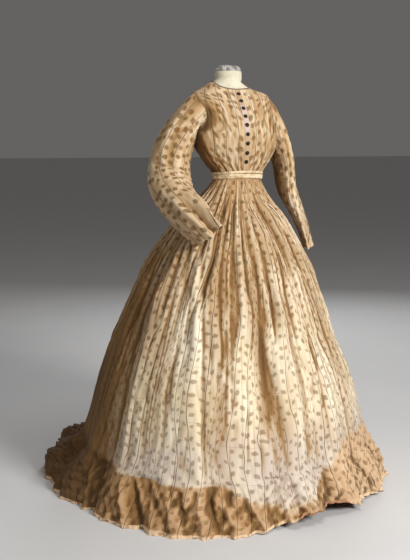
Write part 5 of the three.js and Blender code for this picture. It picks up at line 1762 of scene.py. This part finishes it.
def stitches(name, line, normal, size):
    """A row of small stitches along a line: each a flat low diamond of thread."""
    length, gap, width, off = size
    line = line + normal * off
    walk = lengths(line, 0)
    starts = np.arange(0.0, walk[-1] - length, length + gap)
    at = lambda rows, s: np.stack([np.interp(s, walk, rows[:, k]) for k in range(3)], -1)
    a, b, middle = (at(line, starts + step) for step in (0, length, length / 2))
    up = unit(at(normal, starts + length / 2))
    side = unit(np.cross(b - a, up)) * width / 2
    quarter = (b - a) * 0.22
    rise = up * width * 0.55
    points = np.stack([a, middle - quarter + side, middle + quarter + side, b, middle + quarter - side,
                       middle - quarter - side, middle - quarter + rise, middle + quarter + rise], 1)
    one = [[0, 6, 1], [1, 6, 7, 2], [2, 7, 3], [3, 7, 4], [4, 7, 6, 5], [5, 6, 0],
           [0, 1, 2, 3], [0, 3, 4, 5]]
    every = [[c + 8 * k for c in face] for k in range(len(starts)) for face in one]
    return make_mesh(name, points.reshape(-1, 3), every, THREAD)


def make_buttonholes():
    """The worked end of each buttonhole, which shows beside its button on the wearer's right."""
    made = []
    along, around = np.linspace(-1, 1, 9), round_turns(8)
    side = np.array([1.0, 0, 0])
    for k, (place, normal) in enumerate(button_places()):
        up = np.cross(normal, side)
        middle = place - side * BUTTONHOLE_OFFSET + normal * 0.0001
        wide, high = up * BUTTONHOLE_WIDTH, normal * BUTTONHOLE_HEIGHT
        rings = [middle + side * (BUTTONHOLE_HALF * a)
                 + (1 - 0.75 * abs(a) ** 4) * (wide * math.cos(t) + high * math.sin(t))
                 for a in along for t in around]
        grid = np.array(rings).reshape(len(along), len(around), 3)
        made.append(lofted(f"buttonhole_{k + 1}", grid, DARK_THREAD))
    return made


def sewing(skirt_hems, placket_grid, cuffs):
    """Rows of stitches, by name: above the hem, at the cuffs and along both edges of the placket."""
    rows = []
    for name, line in skirt_hems:
        rows.append((name + "_stitches", line, unit(line * [1, 1, 0]), HEM_STITCH))
    for name, column in (("placket_right_stitches", 1), ("placket_left_stitches", -2)):
        line = placket_grid[:, column]
        out = torso_normal(np.full(len(line), FRONT_ANGLE), line[:, 2])
        rows.append((name, line, out, PLACKET_STITCH))
    for name, grid in cuffs:
        line = grid[-4]
        rows.append((name, line, unit(line - line[:-1].mean(axis=0)), CUFF_STITCH))
    return {row[0]: stitches(*row) for row in rows}


# Dress form and stand
def make_form():
    turns = round_turns(FORM_COLUMNS)

    def ring(half, front, back, y, z):
        s = np.sin(turns)
        return np.stack([half * np.cos(turns), y + np.where(s < 0, front, back) * s, z + 0 * turns], -1)

    def inset(z):
        near_waist = np.maximum(0, 1 - np.abs(z - WAIST_Z) / SEATED_NEAR_WAIST)
        near_shoulder = np.clip((z - SEATED_ABOVE) / SEATED_NEAR_WAIST, 0, 1)
        shoulder = SHOULDER_EASE * np.maximum(0, 1 - ((z - SHOULDER_Z) / SHOULDER_REACH) ** 2)
        ease = FORM_EASE * (1 - np.maximum(near_waist, near_shoulder))
        return FORM_WALL + FORM_GAP + ease + shoulder

    def inside(z):
        return torso(turns, z) - torso_normal(turns, z) * inset(z)[:, None]

    rings = [ring(half, front, back, y, z) for z, half, front, back, y in HIPS]
    low = inside(WAIST_Z + 0 * turns)
    low[:, 2] = FORM_LOW_Z
    rings.append(low)
    for side_z in [z for z in bodice_rows()[::4] if z < 1.396] + [1.408]:
        in_front = 0.004 * np.maximum(-np.sin(turns), 0) ** 2 * (side_z > 1.4)
        raised = inside(row_height(turns, side_z))
        raised[:, 1] += in_front
        rings.append(close_neck(raised))
    neck = [ring(half, depth, depth, NECK_Y, z) for z, half, depth in FORM_NECK]
    rings += [close_neck(neck[0]), *neck[1:]]
    return lofted("form_torso_cover", refined(np.array(rings), 4), CALICO)


def refined(rows, steps):
    """Rows of points with more rows between them, on a smooth curve through the rows."""
    made = [rows[0]]
    last = len(rows) - 1
    for k in range(last):
        a, b = rows[k], rows[k + 1]
        slopes = (b - rows[max(k - 1, 0)]) / 2, (rows[min(k + 2, last)] - a) / 2
        made += [hermite(t, a, slopes[0], b, slopes[1]) for t in np.linspace(0, 1, steps + 1)[1:]]
    return np.array(made)


def lofted(name, rings, material):
    """A closed body through rings, with a cap on its first and last ring."""
    rows, columns = rings.shape[:2]
    points = np.concatenate([rings.reshape(-1, 3), rings[:1].mean(1), rings[-1:].mean(1)])
    faces = [list(f) for f in quads(rows, columns, 0, wraps=True)]
    low, high = rows * columns, rows * columns + 1
    top = (rows - 1) * columns
    faces += [[low, (i + 1) % columns, i] for i in range(columns)]
    faces += [[high, top + i, top + (i + 1) % columns] for i in range(columns)]
    closed = np.concatenate([rings, rings[:, :1]], axis=1)
    uv = np.stack([lengths(closed, 1)[:, :-1], lengths(closed, 0)[:, :-1]], -1).reshape(-1, 2)
    uv = np.concatenate([uv, [[0, 0], [0, 0]]])
    return make_mesh(name, points, faces, material, uv)


def make_cap():
    """The neck's cloth cap: gathered to a small hole in its middle."""
    turns = round_turns(CAP_COLUMNS)
    rings = []
    for z, r in refined(np.array(CAP_PROFILE), 6):
        inwards = smoothstep(0.0475, 0.036, r)
        lumps = noise(turns / FULL_TURN, 0 * turns + 140 * r, 13, 121)
        fold = inwards * (0.0016 * np.cos(19 * turns + 1.4 * np.sin(3 * turns)) + 0.0022 * lumps)
        swell = 0.0011 * noise(turns / FULL_TURN, 0 * turns + 300 * z, 17, 122)
        reach = r + swell
        rings.append(np.stack([reach * np.cos(turns), NECK_Y + reach * np.sin(turns), z + fold], -1))
    hole = np.stack([0.008 * np.cos(turns), NECK_Y + 0.008 * np.sin(turns), 1.4745 + 0 * turns], -1)
    return lofted("form_neck_cap_cloth", np.array(rings + [hole]), CAP)


def lathed(name, profile, material):
    turns = round_turns(FORM_COLUMNS)
    rings = [np.stack([r * np.cos(turns), r * np.sin(turns), z + 0 * turns], -1) for r, z in profile]
    return lofted(name, np.array(rings), material)


def rounded(corners, radius, steps=4):
    """A profile whose inner corners are rounded off."""
    corners = np.array(corners, float)
    made = [corners[0]]
    for before, corner, after in zip(corners, corners[1:], corners[2:]):
        reach = min(radius, np.linalg.norm(corner - before) / 2.2, np.linalg.norm(after - corner) / 2.2)
        a, b = corner + unit(before - corner) * reach, corner + unit(after - corner) * reach
        for t in np.linspace(0, 1, steps):
            made.append((1 - t) ** 2 * a + 2 * t * (1 - t) * corner + t ** 2 * b)
    return made + [corners[-1]]


def make_stand():
    low, high = BASE_BOSS_HEIGHT + SEAM_GAP, HIPS[0][0] - SEAM_GAP
    pole = lathed("form_pole_tube", rounded([
        (POLE_RADIUS, low), (POLE_RADIUS, high - COLLAR_HEIGHT), (COLLAR_RADIUS, high - COLLAR_HEIGHT),
        (COLLAR_RADIUS, high)], 0.002), PAINT)
    base = lathed("form_base_plate", rounded([
        (BASE_RADIUS, 0), (BASE_RADIUS, BASE_THICKNESS - BASE_EDGE),
        (BASE_RADIUS - BASE_EDGE, BASE_THICKNESS), (BASE_BOSS_RADIUS + BASE_EDGE, BASE_THICKNESS),
        (BASE_BOSS_RADIUS, BASE_THICKNESS + BASE_EDGE), (BASE_BOSS_RADIUS - BASE_EDGE, BASE_BOSS_HEIGHT)],
        0.0025), PAINT)
    return pole, base


add_camera()
add_studio()


def place(piece, slot, *nodes):
    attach(piece, "root")
    if nodes:
        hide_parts(*nodes)
    return piece


def cloth(piece, slot, node, grid):
    """Places a piece of cloth under the root and hides its solid."""
    place(piece, slot, node)
    width, length = float(lengths(grid, 1)[:, -1].max()), float(lengths(grid, 0)[-1].mean())


binding = make_binding()
place(binding, "trim_cotton", "neck_binding")
right_piping, left_piping = (make_armhole_piping("armhole_piping_" + way, side)
                             for way, side in (("right", -1), ("left", 1)))
for piece in (right_piping, left_piping):
    place(piece, "trim_cotton")
right_sleeve, right_points = make_sleeve("sleeve_right_cloth", RIGHT_SLEEVE, -1, 81, 0.0030, RIGHT_CREASES,
                                        RIGHT_CROSSING, CUFF_SLANT)
left_sleeve, left_points = make_sleeve("sleeve_left_cloth", LEFT_SLEEVE, 1, 91, 0.0022, LEFT_CREASES,
                                      LEFT_CROSSING, 0)
placket, placket_points = make_placket()
skirt_pieces, hem_lines = make_skirt()
rows = sewing(hem_lines, placket_points, [("cuff_right_stitches", right_points),
                                          ("cuff_left_stitches", left_points)])
for piece in rows.values():
    place(piece, "trim_cotton")

for name, side, seed in (("bodice_front_left", 1, 61), ("bodice_front_right", -1, 71)):
    piece, grid = make_bodice_front(name + "_cloth", side, seed)
    cloth(piece, "printed_cotton", name, grid)
piece, grid = make_bodice_back()
cloth(piece, "printed_cotton", "bodice_back", grid)
cloth(right_sleeve, "printed_cotton", "sleeve_right", right_points)
cloth(left_sleeve, "printed_cotton", "sleeve_left", left_points)
cloth(placket, "placket_cotton", "front_placket", placket_points)
piece, grid = make_waist_band()
cloth(piece, "trim_cotton", "waist_band", grid)
piece, grid = make_belt()
cloth(piece, "trim_cotton", "belt", grid)
for piece, name, grid in skirt_pieces:
    cloth(piece, "printed_cotton", name, grid)
for piece in make_buttonholes() + make_buttons():
    place(piece, "button")
form = place(make_form(), "form_calico", "form_torso")
cap = place(make_cap(), "form_cap_cloth", "form_neck_cap")
pole_piece, base_piece = make_stand()
place(pole_piece, "stand_metal", "form_pole")
place(base_piece, "stand_metal", "form_base")
